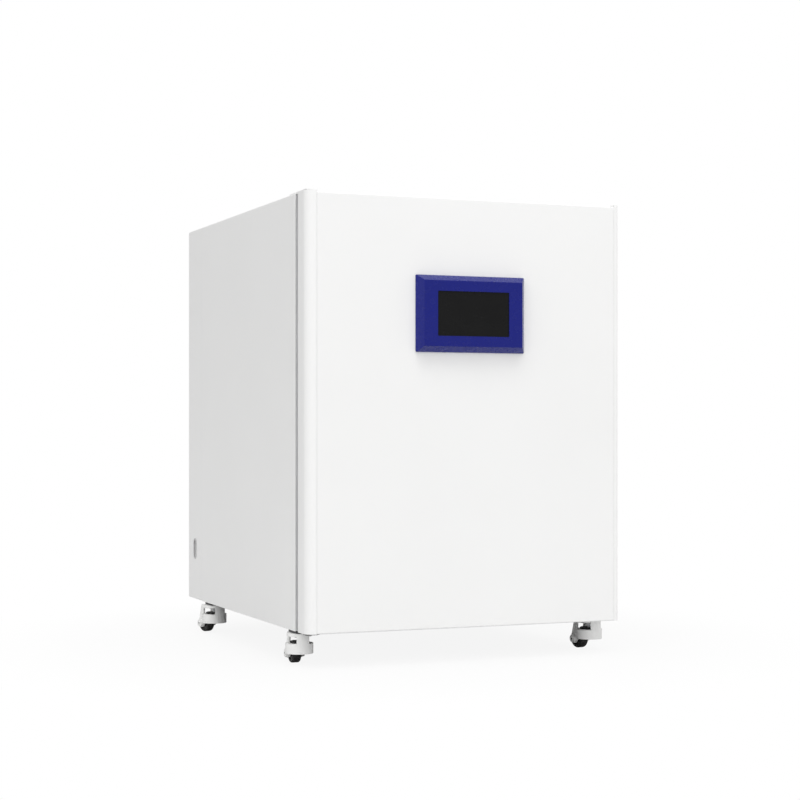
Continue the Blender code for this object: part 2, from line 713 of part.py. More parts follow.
def make_door_foam():
    bm = bmesh.new()
    width = PANEL_RIGHT - PANEL_LEFT - 2 * SEAT_GAP
    low = BASE + SHEET + SEAT_GAP
    high = TOP - DOOR_PANEL_DROP - SHEET - SEAT_GAP
    front = DOOR_FRONT + SHEET + SEAT_GAP
    place = (PANEL_MIDDLE, (low + high) / 2)
    steps = ((SHEET_BEND, front), (0.0, front + SHEET_BEND / 2), (0.0, DOOR_BACK - SHEET - SEAT_GAP))
    rings = []
    for shrink, y in steps:
        outline = rounded_rectangle(width - shrink, high - low - shrink, SHEET_BEND, place, 1)
        rings.append(ring_at(outline, along_y, y))
    loft(bm, rings)
    foam = solid("door_foam", bm, FOAM)
    return cut(foam, screen_cutout(2 * SEAT_GAP, DOOR_FRONT - 0.01, DOOR_FRONT + MODULE_DEPTH + SEAT_GAP))


def make_door_liner():
    """Inner skin of the door, with a raised field inside the gasket."""
    bm = bmesh.new()
    field = 2 * (DOOR_GASKET_INSET + DOOR_GASKET_WIDTH + 0.004)
    width, height = CABINET_WIDTH - field, CABINET_HEIGHT - field
    slope = 2 * DOOR_PLUG_RISE
    hollow = 0.004
    rise = DOOR_BACK + DOOR_PLUG_RISE
    steps = (
        (PANEL_RIGHT - PANEL_LEFT, CABINET_HEIGHT, 0.002, DOOR_BACK - SHEET, PANEL_MIDDLE),
        (PANEL_RIGHT - PANEL_LEFT, CABINET_HEIGHT, 0.002, DOOR_BACK, PANEL_MIDDLE),
        (width, height, 0.020, DOOR_BACK, 0.0),
        (width - slope, height - slope, 0.016, rise, 0.0),
    )
    loft(bm, [ring_at(rounded_rectangle(w, h, r, (x, MIDDLE)), along_y, y) for w, h, r, y, x in steps])
    liner = solid("door_liner", bm, WHITE_PLASTIC)
    inner = bmesh.new()
    spans = (
        (width - hollow, height - hollow, 0.018, DOOR_BACK - SHEET - 0.001),
        (width - hollow, height - hollow, 0.018, DOOR_BACK - SHEET),
        (width - hollow - slope, height - hollow - slope, 0.014, rise - SHEET),
    )
    loft(inner, [ring_at(rounded_rectangle(w, h, r, (0, MIDDLE)), along_y, y) for w, h, r, y in spans])
    return cut(liner, solid("tool", inner))


def make_door_gasket():
    """Magnetic gasket: a frame with a bellows groove along its inner and outer side."""
    bm = bmesh.new()
    front = DOOR_BACK + SEAT_GAP
    back = BODY_FRONT - SEAT_GAP
    waist = (front + back) / 2
    outer_inset = 2 * DOOR_GASKET_INSET
    inner_inset = outer_inset + 2 * DOOR_GASKET_WIDTH
    steps = (
        (outer_inset, 0.010, front), (outer_inset, 0.010, waist - 0.003), (outer_inset + 0.005, 0.008, waist),
        (outer_inset, 0.010, waist + 0.003), (outer_inset, 0.010, back),
        (inner_inset, 0.004, back), (inner_inset, 0.004, waist + 0.003), (inner_inset - 0.005, 0.006, waist),
        (inner_inset, 0.004, waist - 0.003), (inner_inset, 0.004, front),
    )
    rings = [
        ring_at(rounded_rectangle(CABINET_WIDTH - i, CABINET_HEIGHT - i, r, (0, MIDDLE), 3), along_y, y)
        for i, r, y in steps
    ]
    loft(bm, rings, closed=True)
    return solid("door_gasket", bm, GREY_RUBBER)


def make_screen():
    """Bevelled bezel, the glass behind its window, and the electronics box that reaches into the door."""
    face = DOOR_FRONT - SCREEN_PROUD
    pocket_width = DISPLAY_WIDTH + 2 * DISPLAY_BORDER
    pocket_height = DISPLAY_HEIGHT + 2 * DISPLAY_BORDER
    seat = DOOR_FRONT - SEAT_GAP
    steps = (
        (SCREEN_WIDTH, SCREEN_HEIGHT, 0.0015, seat),
        (SCREEN_WIDTH, SCREEN_HEIGHT, 0.0015, seat - SCREEN_RIM),
        (SCREEN_WIDTH - 2 * SCREEN_CHAMFER, SCREEN_HEIGHT - 2 * SCREEN_CHAMFER, 0.001, face),
        (DISPLAY_WIDTH, DISPLAY_HEIGHT, 0.001, face),
        (DISPLAY_WIDTH, DISPLAY_HEIGHT, 0.001, face + DISPLAY_LIP),
        (pocket_width, pocket_height, 0.001, face + DISPLAY_LIP),
        (pocket_width, pocket_height, 0.001, seat),
    )
    bm = bmesh.new()
    rings = [ring_at(rounded_rectangle(w, h, r, SCREEN_PLACE, 1), along_y, y) for w, h, r, y in steps]
    loft(bm, rings, closed=True)
    bezel = solid("screen_bezel", bm, BLUE_PLASTIC)
    bm = bmesh.new()
    fit = 2 * SEAT_GAP
    outline = rounded_rectangle(pocket_width - fit, pocket_height - fit, 0.001, SCREEN_PLACE, 1)
    glass_back = face + DISPLAY_LIP + SEAT_GAP + 0.002
    prism(bm, outline, along_y, face + DISPLAY_LIP + SEAT_GAP, glass_back)
    glass = solid("screen_glass", bm, BLACK_GLASS)
    bm = bmesh.new()
    prism(bm, outline, along_y, glass_back + SEAT_GAP, DOOR_FRONT + MODULE_DEPTH)
    module = solid("screen_module", bm, DARK_STEEL)
    return [bezel, glass, module]


def make_hinge_bush(name, low, high):
    """Nylon block inside an end of the left edge profile, bored for the hinge pin."""
    fit = DOOR_EDGE_WALL + SEAT_GAP
    bm = bmesh.new()
    y = DOOR_HINGE.y
    block(bm, (fit - SIDE, y - 0.006, low), (DOOR_EDGE_WIDTH - fit - SIDE, y + 0.014, high))
    bush = solid(name, bm, BLACK_NYLON)
    bore = tool_disc(HINGE_PIN_RADIUS + SEAT_GAP, along_z, (DOOR_HINGE.x, y), low - 0.01, high + 0.01, 16)
    return cut(bush, bore)


def merge_group(name, pieces, look):
    """Joins separate solids into one object without touching their shapes."""
    bm = bmesh.new()
    for piece in pieces:
        bm.from_mesh(piece.data)
        bpy.data.objects.remove(piece, do_unlink=True)
    return solid(name, bm, look)


def make_hinge_plate(name, bottom):
    """Steel plate that reaches from the body to the hinge axis, with its pin; below, it passes the caster."""
    x, y = DOOR_HINGE.x, DOOR_HINGE.y
    front, rear = y - HINGE_NOSE, BODY_FRONT + HINGE_ARM_GRIP
    left, right = x - HINGE_ARM_EDGE, x - HINGE_ARM_EDGE + HINGE_ARM_WIDTH
    bm = bmesh.new()
    if bottom:
        inner, outer = x + HINGE_ARM_SIDESTEP, x + HINGE_ARM_SIDESTEP + HINGE_ARM_WIDTH
        outline = [
            (left, front), (right, front), (outer, BODY_FRONT - 0.010), (outer, rear), (inner, rear),
            (inner, BODY_FRONT + 0.004), (left, BODY_FRONT - 0.030),
        ]
        low, high = BASE - SEAT_GAP - HINGE_PLATE, BASE - SEAT_GAP
        pin_low, pin_high = low + 0.001, BASE + HINGE_PIN_LENGTH
    else:
        outline = [(left, front), (right, front), (right, rear), (left, rear)]
        low, high = TOP + SEAT_GAP, TOP + SEAT_GAP + HINGE_PLATE
        pin_low, pin_high = TOP - HINGE_PIN_LENGTH, high - 0.001
    prism(bm, outline, along_z, low, high)
    plate = solid(name, bm, DARK_STEEL if bottom else WHITE_PAINT)
    return join(plate, tool_disc(HINGE_PIN_RADIUS, along_z, (x, y), pin_low, pin_high, 16))


# Glass door


def glass_hinge_heights():
    return (CHAMBER_LOW + GLASS_HINGE_INSET, CHAMBER_HIGH - GLASS_HINGE_INSET)


def make_chamber_gasket():
    bm = bmesh.new()
    front = GLASS_BACK + SEAT_GAP
    back = FRAME_FACE - SEAT_GAP
    inner = 0.004
    outer = inner + 2 * CHAMBER_GASKET_WIDTH
    lip = 0.002
    steps = (
        (outer, back), (outer, front + lip), (outer - 2 * lip, front),
        (inner + 2 * lip, front), (inner, front + lip), (inner, back),
    )
    middle = (0, CHAMBER_MIDDLE)
    rings = []
    for grow, y in steps:
        outline = rounded_rectangle(CHAMBER_WIDTH + grow, CHAMBER_HEIGHT + grow, CHAMBER_RADIUS, middle, 4)
        rings.append(ring_at(outline, along_y, y))
    loft(bm, rings, closed=True)
    return solid("chamber_gasket", bm, SILICONE)


def make_glass_pane():
    bm = bmesh.new()
    edge = 0.0008
    steps = (
        (2 * edge, GLASS_FRONT), (0.0, GLASS_FRONT + edge), (0.0, GLASS_BACK - edge), (2 * edge, GLASS_BACK),
    )
    rings = [
        ring_at(rounded_rectangle(GLASS_WIDTH - s, GLASS_HEIGHT - s, 0.012, (0, CHAMBER_MIDDLE)), along_y, y)
        for s, y in steps
    ]
    loft(bm, rings)
    return solid("glass_pane", bm, CLEAR_GLASS)


def make_glass_hinge_leaves():
    """Strip on the front of the pane with two leaves, each rolled into a knuckle round its pin."""
    pieces = []
    x, y = GLASS_HINGE.x, GLASS_HINGE.y
    leaf_back = GLASS_FRONT - SEAT_GAP
    bm = bmesh.new()
    bottom, top = glass_hinge_heights()
    block(bm, (x + 0.013, leaf_back - 0.002, bottom), (x + 0.025, leaf_back, top))
    strip = solid("glass_hinge_leaves", bm, STAINLESS)
    for height in glass_hinge_heights():
        low, high = height - GLASS_LEAF_HEIGHT / 2, height + GLASS_LEAF_HEIGHT / 2
        knuckle = arc((x, y), GLASS_KNUCKLE_RADIUS, 70, 270, 8)
        leaf_front = leaf_back - 0.003
        tip = x + GLASS_LEAF_LENGTH
        outline = [(tip, leaf_front), (tip, leaf_back), (x + 0.006, leaf_back)]
        outline += knuckle + [(x + 0.004, y - 0.004), (x + 0.008, leaf_front)]
        bm = bmesh.new()
        prism(bm, outline, along_z, low, high)
        join(strip, solid("leaf", bm))
        pieces.append(tool_disc(GLASS_PIN_RADIUS + SEAT_GAP, along_z, (x, y), low - 0.01, high + 0.01, 8))
    return cut(strip, *pieces)


def make_glass_hinge_posts():
    """Rail on the frame's flange with ears above and below each leaf, and the pins between them."""
    x, y = GLASS_HINGE.x, GLASS_HINGE.y
    ear, half = 0.006, 0.0048
    flange_back = FRAME_FACE - SEAT_GAP
    bm = bmesh.new()
    bottom, top = glass_hinge_heights()
    block(bm, (x - 0.007, flange_back - SHEET, bottom), (x + 0.005, flange_back, top))
    rail = solid("glass_hinge_posts", bm, STAINLESS)
    for height in glass_hinge_heights():
        low, high = height - GLASS_LEAF_HEIGHT / 2, height + GLASS_LEAF_HEIGHT / 2
        base_low, base_high = low - SEAT_GAP - ear, high + SEAT_GAP + ear
        bm = bmesh.new()
        block(bm, (x - 0.009, flange_back - 0.003, base_low), (x + 0.006, flange_back, base_high))
        post = solid("post", bm)
        outline = arc((x, y), half, 180, 360, 5)
        outline += [(x + half, flange_back - 0.001), (x - half, flange_back - 0.001)]
        ears = [
            tool_prism(outline, along_z, base_low, low - SEAT_GAP),
            tool_prism(outline, along_z, high + SEAT_GAP, base_high),
            tool_disc(GLASS_PIN_RADIUS, along_z, (x, y), base_low + 0.001, base_high - 0.001, 8),
        ]
        join(rail, post, *ears)
    return rail


def make_glass_latch():
    """Turning knob with a tongue, at rest turned up and clear of the keeper."""
    bm = bmesh.new()
    profile = [
        (0.0, 0.0), (0.010, 0.0), (0.010, 0.003), (0.0085, 0.0045),
        (0.0085, 0.0135), (0.007, 0.015), (0.0, 0.015),
    ]
    turned(bm, profile, 20)
    seat = GLASS_FRONT - SEAT_GAP
    place = Matrix.Translation((LATCH.x, seat, LATCH.z)) @ Matrix.Rotation(math.pi / 2, 4, "X")
    knob = solid("glass_latch", bm, BLACK_NYLON, place)
    tongue_back = seat - LATCH_PLAY
    outline = rounded_rectangle(0.009, 0.027, 0.004, (LATCH.x, LATCH.z + 0.0095), 3)
    return join(knob, tool_prism(outline, along_y, tongue_back - LATCH_TONGUE, tongue_back))


def make_latch_keeper():
    """Hook on the flange that the latch tongue turns into."""
    x_low = GLASS_WIDTH / 2 + 0.002
    x_high = x_low + KEEPER_REACH
    sheet = KEEPER_SHEET
    flange = FRAME_FACE - SEAT_GAP
    hook_back = GLASS_FRONT - LATCH_PLAY - LATCH_TONGUE - 2 * SEAT_GAP
    bm = bmesh.new()
    bend = x_high - sheet
    outline = [
        (x_low, flange), (x_low, flange - sheet), (bend, flange - sheet), (bend, hook_back),
        (x_low, hook_back), (x_low, hook_back - sheet), (x_high, hook_back - sheet), (x_high, flange),
    ]
    prism(bm, outline, along_z, LATCH.z - 0.010, LATCH.z + 0.010)
    return solid("latch_keeper", bm, STAINLESS)


# Inside the chamber


def shelf_heights():
    return [CHAMBER_LOW + FIRST_SHELF_HEIGHT + index * SHELF_SPACING for index in range(SHELF_COUNT)]


RACK_FRONT = SHELF_FRONT - 0.010
RACK_BACK = SHELF_FRONT + SHELF_DEPTH + 0.010
RACK_LOW = CHAMBER_LOW + CHAMBER_RADIUS + 0.002
RACK_HIGH = CHAMBER_HIGH - CHAMBER_RADIUS - 0.002


def make_shelf_rack(name, side):
    """Sheet rack on one chamber wall, cut out between its runners; side is -1 for the left."""
    face, wall = side * RACK_FACE, side * (CHAMBER_SIDE - SEAT_GAP)
    bm = bmesh.new()
    block(bm, (min(face, wall), RACK_FRONT, RACK_LOW), (max(face, wall), RACK_BACK, RACK_HIGH))
    rack = solid(name, bm, STAINLESS)
    ledges = []
    tip = side * (RACK_FACE - RUNNER_WIDTH)
    root = side * (RACK_FACE + SHEET / 2)
    for height in shelf_heights():
        for low in (height - SEAT_GAP - SHEET, height + RUNNER_OPENING):
            ledges.append(
                tool_block((min(tip, root), RACK_FRONT, low), (max(tip, root), RACK_BACK, low + SHEET))
            )
    join(rack, *ledges)
    windows = []
    spans = shelf_heights()
    lows = [RACK_LOW + 0.015] + [z + RUNNER_OPENING + 0.015 for z in spans]
    highs = [z - 0.015 for z in spans] + [RACK_HIGH - 0.015]
    window = (RACK_BACK - RACK_FRONT - 0.075) / 2
    for low, high in zip(lows, highs):
        for bay in (0, 1):
            start = RACK_FRONT + 0.025 + bay * (window + 0.025)
            near, far = side * CHAMBER_SIDE - PUNCH / 2, side * CHAMBER_SIDE + PUNCH / 2
            windows.append(tool_block((near, start, low), (far, start + window, high)))
    return cut(rack, *windows)


def make_shelf(name, height):
    """Perforated sheet shelf with flanges turned down at the front and back."""
    bm = bmesh.new()
    section = [(-v, u) for u, v in channel(SHELF_DEPTH, SHELF_FLANGE, SHEET_BEND, SHELF_SHEET)]
    middle = SHELF_FRONT + SHELF_DEPTH / 2
    outline = [(middle + v, height + SHELF_SHEET - SHELF_FLANGE - u) for u, v in section]
    inner = RACK_FACE - RUNNER_WIDTH - 0.002
    prism(bm, outline, along_x, -inner, inner)
    shelf = solid(name, bm, STAINLESS)
    margin = 0.006
    back = SHELF_FRONT + SHELF_DEPTH
    wings = tool_block(
        (-SHELF_SIDE, SHELF_FRONT + margin, height), (SHELF_SIDE, back - margin, height + SHELF_SHEET)
    )
    join(shelf, wings)
    slots = []
    columns, rows = 4, 4
    pitch_x = (2 * inner - 0.010) / columns
    pitch_y = (SHELF_DEPTH - 0.040) / rows
    for column in range(columns):
        for row in range(rows):
            x = (column - (columns - 1) / 2) * pitch_x
            y = middle + (row - (rows - 1) / 2) * pitch_y
            reach_x, reach_y = pitch_x / 2 - 0.013, 0.010
            low = (x - reach_x, y - reach_y, height - 0.004)
            slots.append(tool_block(low, (x + reach_x, y + reach_y, height + 0.006)))
    return cut(shelf, merge_group("slots", slots, STAINLESS))


def make_water_pan():
    """Open humidity pan with a rolled rim, standing on the chamber floor."""
    low = CHAMBER_LOW + SEAT_GAP
    wall = 0.0012
    front = SHELF_FRONT
    middle = (0.0, front + PAN_DEPTH / 2)
    rim = 0.005
    high = low + PAN_HEIGHT
    taper = 0.020
    steps = (
        (-taper, 0.014, low), (0.0, 0.020, high - 0.002), (2 * rim, 0.024, high - 0.002),
        (2 * rim, 0.024, high), (-2 * wall, 0.019, high), (-taper - 2 * wall, 0.013, low + wall),
    )
    bm = bmesh.new()
    rings = []
    for grow, radius, z in steps:
        width = PAN_WIDTH - 2 * rim + grow
        depth = PAN_DEPTH - 2 * rim + grow
        rings.append(ring_at(rounded_rectangle(width, depth, radius, middle), along_z, z))
    loft(bm, rings)
    return solid("water_pan", bm, STAINLESS)


def make_duct_cover():
    """Perforated cover over the fan and the filter, hung on the rear wall of the chamber."""
    middle = CHAMBER_MIDDLE
    steps = (
        (0.0, 0.012, CHAMBER_BACK - SEAT_GAP), (0.0, 0.012, DUCT_FRONT + 0.006), (-0.012, 0.006, DUCT_FRONT),
    )
    bm = bmesh.new()
    rings = []
    for grow, radius, y in steps:
        outline = rounded_rectangle(DUCT_WIDTH + grow, DUCT_HEIGHT + grow, radius, (0, middle), 3)
        rings.append(ring_at(outline, along_y, y))
    loft(bm, rings)
    cover = solid("duct_cover", bm, STAINLESS)
    hollow = tool_prism(
        rounded_rectangle(DUCT_WIDTH - 0.014, DUCT_HEIGHT - 0.014, 0.005, (0, middle), 3),
        along_y, DUCT_FRONT + SHEET, CHAMBER_BACK + 0.01,
    )
    slots = []
    for row in range(5):
        z = FILTER_MIDDLE + (row - 2) * 0.030
        slot = tool_prism(obround(0.008, 0.150, steps=3), along_y, DUCT_FRONT - PUNCH, DUCT_FRONT + PUNCH)
        slot.data.transform(Matrix.Translation((0, 0, z)) @ Matrix.Rotation(math.pi / 2, 4, "Y"))
        slots.append(slot)
    for row in range(3):
        for side in (-1, 1):
            z = FAN_MIDDLE + (row - 1) * 0.030
            outline = obround(0.006, 0.016, (DUCT_FRONT + 0.020, z), steps=3)
            wall = side * DUCT_WIDTH / 2
            slots.append(tool_prism(outline, along_x, wall - PUNCH, wall + PUNCH))
    return cut(cover, hollow, *slots)


def make_hepa_filter():
    """Framed filter with a pleated face towards the fan side."""
    half = FILTER_SIZE / 2
    front = DUCT_FRONT + SHEET + SEAT_GAP
    bm = bmesh.new()
    pleats = 12
    edge = 0.012
    back = front + FILTER_THICKNESS
    outline = [(-half, front), (half, front), (half, back), (half - edge, back)]
    span = FILTER_SIZE - 2 * edge
    for index in range(2 * pleats - 1):
        x = half - edge - span * (index + 1) / (2 * pleats)
        outline.append((x, back - (0.009 if index % 2 == 0 else 0.002)))
    outline += [(edge - half, back), (-half, back)]
    prism(bm, outline, along_z, FILTER_MIDDLE - half, FILTER_MIDDLE + half)
    return solid("hepa_filter", bm, FILTER_PAPER)


def make_fan_impeller():
    """Radial impeller with backward-curved blades, on the long shaft from the motor."""
    back = CHAMBER_BACK - 0.008
    plate = 0.0015
    shaft_end = BULKHEAD_FRONT + SHEET + 0.020
    bm = bmesh.new()
    profile = [
        (0.0, FAN_BLADE_HEIGHT), (0.012, FAN_BLADE_HEIGHT), (0.014, plate), (FAN_RADIUS, plate),
        (FAN_RADIUS, 0.0), (SHAFT_RADIUS, 0.0), (SHAFT_RADIUS, back - shaft_end), (0.0, back - shaft_end),
    ]
    turned(bm, profile, 24)
    place = Matrix.Translation((0, back, FAN_MIDDLE)) @ Matrix.Rotation(math.pi / 2, 4, "X")
    impeller = solid("fan_impeller", bm, WHITE_PLASTIC, place)
    blades = []
    for index in range(FAN_BLADES):
        bm = bmesh.new()
        turn = math.tau * index / FAN_BLADES
        curve = arc((-0.020, 0.036), 0.044, -48, 6, 3)
        inner = arc((-0.020, 0.036), 0.0425, 6, -48, 3)
        prism(bm, curve + inner, along_z, plate / 2, FAN_BLADE_HEIGHT - 0.002)
        bmesh.ops.rotate(bm, cent=(0, 0, 0), matrix=Matrix.Rotation(turn, 3, "Z"), verts=bm.verts)
        blades.append(solid("blade", bm, None, place))
    return join(impeller, merge_group("blades", blades, WHITE_PLASTIC))


def make_fan_motor():
    front = BULKHEAD_FRONT + SHEET + SEAT_GAP
    profile = [
        (SHAFT_RADIUS + SEAT_GAP, 0.0), (MOTOR_RADIUS + 0.008, 0.0), (MOTOR_RADIUS + 0.008, 0.003),
        (MOTOR_RADIUS, 0.003), (MOTOR_RADIUS, MOTOR_LENGTH - 0.004), (MOTOR_RADIUS - 0.004, MOTOR_LENGTH),
        (0.010, MOTOR_LENGTH), (0.010, 0.024), (SHAFT_RADIUS + SEAT_GAP, 0.024),
    ]
    bm = bmesh.new()
    turned(bm, profile, 20, closed=True)
    place = Matrix.Translation((0, front, FAN_MIDDLE)) @ Matrix.Rotation(-math.pi / 2, 4, "X")
    return solid("fan_motor", bm, ZINC, place)


# Rear compartment and connections


def make_port_sleeve():
    """Flanged tube from the chamber to the back of the cabinet."""
    start = CHAMBER_BACK - PORT_FLANGE - SEAT_GAP
    end = BODY_BACK + PORT_FLANGE + SEAT_GAP
    outer = PORT_RADIUS + PORT_WALL
    brim = outer + 0.006
    length = end - start
    far = length - PORT_FLANGE
    profile = [
        (PORT_RADIUS, 0.0), (brim, 0.0), (brim, PORT_FLANGE), (outer, PORT_FLANGE),
        (outer, far), (brim, far), (brim, length), (PORT_RADIUS, length),
    ]
    bm = bmesh.new()
    turned(bm, profile, 20, closed=True)
    place = Matrix.Translation((PORT_OFFSET, start, PORT_MIDDLE)) @ Matrix.Rotation(-math.pi / 2, 4, "X")
    return solid("port_sleeve", bm, WHITE_PLASTIC, place)


def make_port_plug():
    """Tapered silicone stopper with a pull knob."""
    start = BODY_BACK + PORT_FLANGE + 2 * SEAT_GAP
    brim = PORT_RADIUS + 0.005
    profile = [
        (0.0, 0.010), (0.010, 0.010), (0.012, 0.008), (0.012, 0.004), (brim, 0.003), (brim, 0.0),
        (PORT_RADIUS - SEAT_GAP, 0.0), (PORT_RADIUS - 0.002, -PLUG_LENGTH), (0.0, -PLUG_LENGTH),
    ]
    bm = bmesh.new()
    turned(bm, profile, 20)
    place = Matrix.Translation((PORT_OFFSET, start, PORT_MIDDLE)) @ Matrix.Rotation(-math.pi / 2, 4, "X")
    return solid("port_plug", bm, SILICONE, place)


def make_gas_inlet():
    """Barbed hose fitting with its flange outside and its nut inside the rear cover."""
    start = BODY_BACK
    flange = 0.003
    thread, tube, brim = GAS_THREAD_RADIUS, 0.0035, 0.010
    profile = [
        (0.0, -0.016), (thread, -0.016), (thread, SEAT_GAP), (brim, SEAT_GAP), (brim, flange), (tube, flange),
    ]
    barb = (FITTING_PROUD - flange) / 2
    for index in range(2):
        base = flange + index * barb
        profile += [(tube, base + 0.001), (tube + 0.0013, base + 0.0015), (tube + 0.0003, base + barb)]
    profile[-1] = (tube, FITTING_PROUD)
    profile.append((0.0, FITTING_PROUD))
    bm = bmesh.new()
    turned(bm, profile, 12)
    place = Matrix.Translation((GAS_PLACE[0], start, GAS_PLACE[1])) @ Matrix.Rotation(-math.pi / 2, 4, "X")
    fitting = solid("gas_inlet", bm, BRASS, place)
    nut_seat = BODY_BACK - SHEET - SEAT_GAP
    return join(fitting, tool_disc(0.011, along_y, GAS_PLACE, nut_seat - 0.005, nut_seat, 6))


def make_mains_inlet():
    """Appliance inlet: flange outside, body inside, and a recess with its three contacts."""
    x, z = MAINS_PLACE
    bm = bmesh.new()
    flange = rounded_rectangle(0.048, 0.030, 0.004, MAINS_PLACE, 3)
    prism(bm, flange, along_y, BODY_BACK + SEAT_GAP, BODY_BACK + 0.0023)
    inlet = solid("mains_inlet", bm, BLACK_NYLON)
    body = rounded_rectangle(MAINS_WIDTH - 2 * SEAT_GAP, MAINS_HEIGHT - 2 * SEAT_GAP, 0.003, MAINS_PLACE, 2)
    join(inlet, tool_prism(body, along_y, BODY_BACK - 0.024, BODY_BACK + 0.001))
    recess = rounded_rectangle(0.0235, 0.0165, 0.003, MAINS_PLACE, 2)
    cut(inlet, tool_prism(recess, along_y, BODY_BACK - 0.015, BODY_BACK + PUNCH))
    contacts = []
    for dx, dz in ((-0.007, -0.0025), (0.0, 0.0025), (0.007, -0.0025)):
        low = (x + dx - 0.001, BODY_BACK - 0.017, z + dz - 0.002)
        contacts.append(tool_block(low, (x + dx + 0.001, BODY_BACK - 0.003, z + dz + 0.002)))
    return join(inlet, *contacts)


def make_switch_trim():
    """Raised ring round the switch slot, with a short collar through the sheet."""
    inner, collar, outer = -SWITCH_TRIM_WALL, -2 * SEAT_GAP, 0.006
    face = -SIDE - 0.0018
    seat = -SIDE - SEAT_GAP
    inside = -SIDE + SWITCH_COLLAR
    steps = (
        (inner, inside), (inner, face + 0.0006), (inner + 0.001, face), (outer - 0.002, face),
        (outer, face + 0.001), (outer, seat), (collar, seat), (collar, inside),
    )
    bm = bmesh.new()
    rings = []
    for grow, x in steps:
        outline = obround(SWITCH_SLOT_WIDTH + grow, SWITCH_SLOT_HEIGHT + grow, (SWITCH_Y, SWITCH_Z))
        rings.append(ring_at(outline, along_x, x))
    loft(bm, rings, closed=True)
    return solid("switch_trim", bm, WHITE_PLASTIC)


def make_power_rocker():
    """Rocker with a shallow hollow face, resting with its top pressed in."""
    half = (SWITCH_SLOT_HEIGHT - SWITCH_TRIM_WALL) / 2 - 0.0012
    width = SWITCH_SLOT_WIDTH - SWITCH_TRIM_WALL - 2 * 0.0006
    face = 0.0015 - ROCKER_DEPTH
    quarter, hollow = half / 2, face + 0.0013
    outline = [(-half, face), (-quarter, hollow), (0.0, face + 0.0019), (quarter, hollow), (half, face)]
    outline += [(half, -0.002), (0.004, 0.004), (-0.004, 0.004), (-half, -0.002)]
    bm = bmesh.new()

    def place(u, v, w):
        return (v, w, u)

    prism(bm, outline, place, -width / 2, width / 2)
    rocker = solid("power_rocker", bm, BLACK_NYLON)
    ends = tool_prism(obround(width, 2 * half + 0.0002), along_x, -0.02, 0.02)
    combine(rocker, "INTERSECT", ends)
    tilt = Matrix.Rotation(math.radians(-ROCKER_TILT), 4, "Y")
    rocker.data.transform(Matrix.Translation(ROCKER_PIVOT) @ tilt)
    return rocker


def make_control_board():
    """Circuit board on stand-offs, with its larger parts."""
    x_mid, z_mid = SIDE - BOARD_FROM_SIDE, BASE + BOARD_FROM_BOTTOM
    half_w, half_h = BOARD_WIDTH / 2, BOARD_HEIGHT / 2
    back = BULKHEAD_FRONT + SHEET
    near = back + BOARD_STAND_OFF
    far = near + BOARD_THICKNESS
    inside = (near + far) / 2
    bm = bmesh.new()
    block(bm, (x_mid - half_w, near, z_mid - half_h), (x_mid + half_w, far, z_mid + half_h))
    board = solid("control_board", bm, CIRCUIT_GREEN)
    parts = []
    post_x, post_z = half_w - BOARD_HOLE_INSET, half_h - BOARD_HOLE_INSET
    for x in (x_mid - post_x, x_mid + post_x):
        for z in (z_mid - post_z, z_mid + post_z):
            parts.append(tool_disc(0.004, along_y, (x, z), back + SEAT_GAP, inside, 8))
    processor = (-0.20, 0.13, 0.15, 0.20, 0.004)
    relays = (0.25, 0.20, 0.25, 0.13, 0.018)
    terminals = (0.15, -0.27, 0.35, 0.13, 0.012)
    for across, up, wide, high, rise in (processor, relays, terminals):
        x, z = x_mid + across * BOARD_WIDTH, z_mid + up * BOARD_HEIGHT
        half_wide, half_high = wide * BOARD_WIDTH / 2, high * BOARD_HEIGHT / 2
        low = (x - half_wide, inside, z - half_high)
        parts.append(tool_block(low, (x + half_wide, far + rise, z + half_high)))
    return join(board, *parts)


def make_power_supply():
    back = BULKHEAD_FRONT + SHEET + SEAT_GAP
    middle = SUPPLY_FROM_SIDE + SUPPLY_WIDTH / 2 - SIDE
    low = BASE + SUPPLY_FROM_BOTTOM
    place = (middle, low + SUPPLY_HEIGHT / 2)
    edge = 0.003
    bm = bmesh.new()
    rings = []
    for shrink, y in ((0.0, back), (0.0, back + SUPPLY_DEPTH - edge), (2 * edge, back + SUPPLY_DEPTH)):
        outline = rounded_rectangle(SUPPLY_WIDTH - shrink, SUPPLY_HEIGHT - shrink, 0.002, place, 1)
        rings.append(ring_at(outline, along_y, y))
    loft(bm, rings)
    return solid("power_supply", bm, ZINC)


# Levelling casters


def caster_places():
    places = {}
    for name, angle in CASTER_ANGLES.items():
        x = (SIDE - CASTER_FROM_SIDE) * (-1 if name.endswith("left") else 1)
        y = BODY_FRONT + CASTER_FROM_FRONT + (CASTER_WHEELBASE if name.startswith("rear") else 0.0)
        places[name] = (x, y, math.radians(angle))
    return places


CASTER_PLACES = caster_places()


def add_caster_plate(pan, x, y):
    """Mounting plate with the hollow, headed kingpin that the housing swivels on."""
    outline = rounded_rectangle(CASTER_PLATE_WIDTH, CASTER_PLATE_LENGTH, 0.003, (x, y), 1)
    join(pan, tool_prism(outline, along_z, PLATE_LOW, BASE - SEAT_GAP))
    top = BASE + SHEET / 2
    head_high = WINDOW_HIGH - SEAT_GAP
    head_low = head_high - KINGPIN_HEAD
    head, core = KINGPIN_RADIUS + 0.003, KINGPIN_BORE - 0.001
    bm = bmesh.new()
    profile = [
        (KINGPIN_RADIUS, top), (KINGPIN_RADIUS, head_high), (head, head_high),
        (head, head_low), (core, head_low), (core, top),
    ]
    turned(bm, profile, 12, closed=True)
    join(pan, solid("kingpin", bm, None, Matrix.Translation((x, y, 0))))


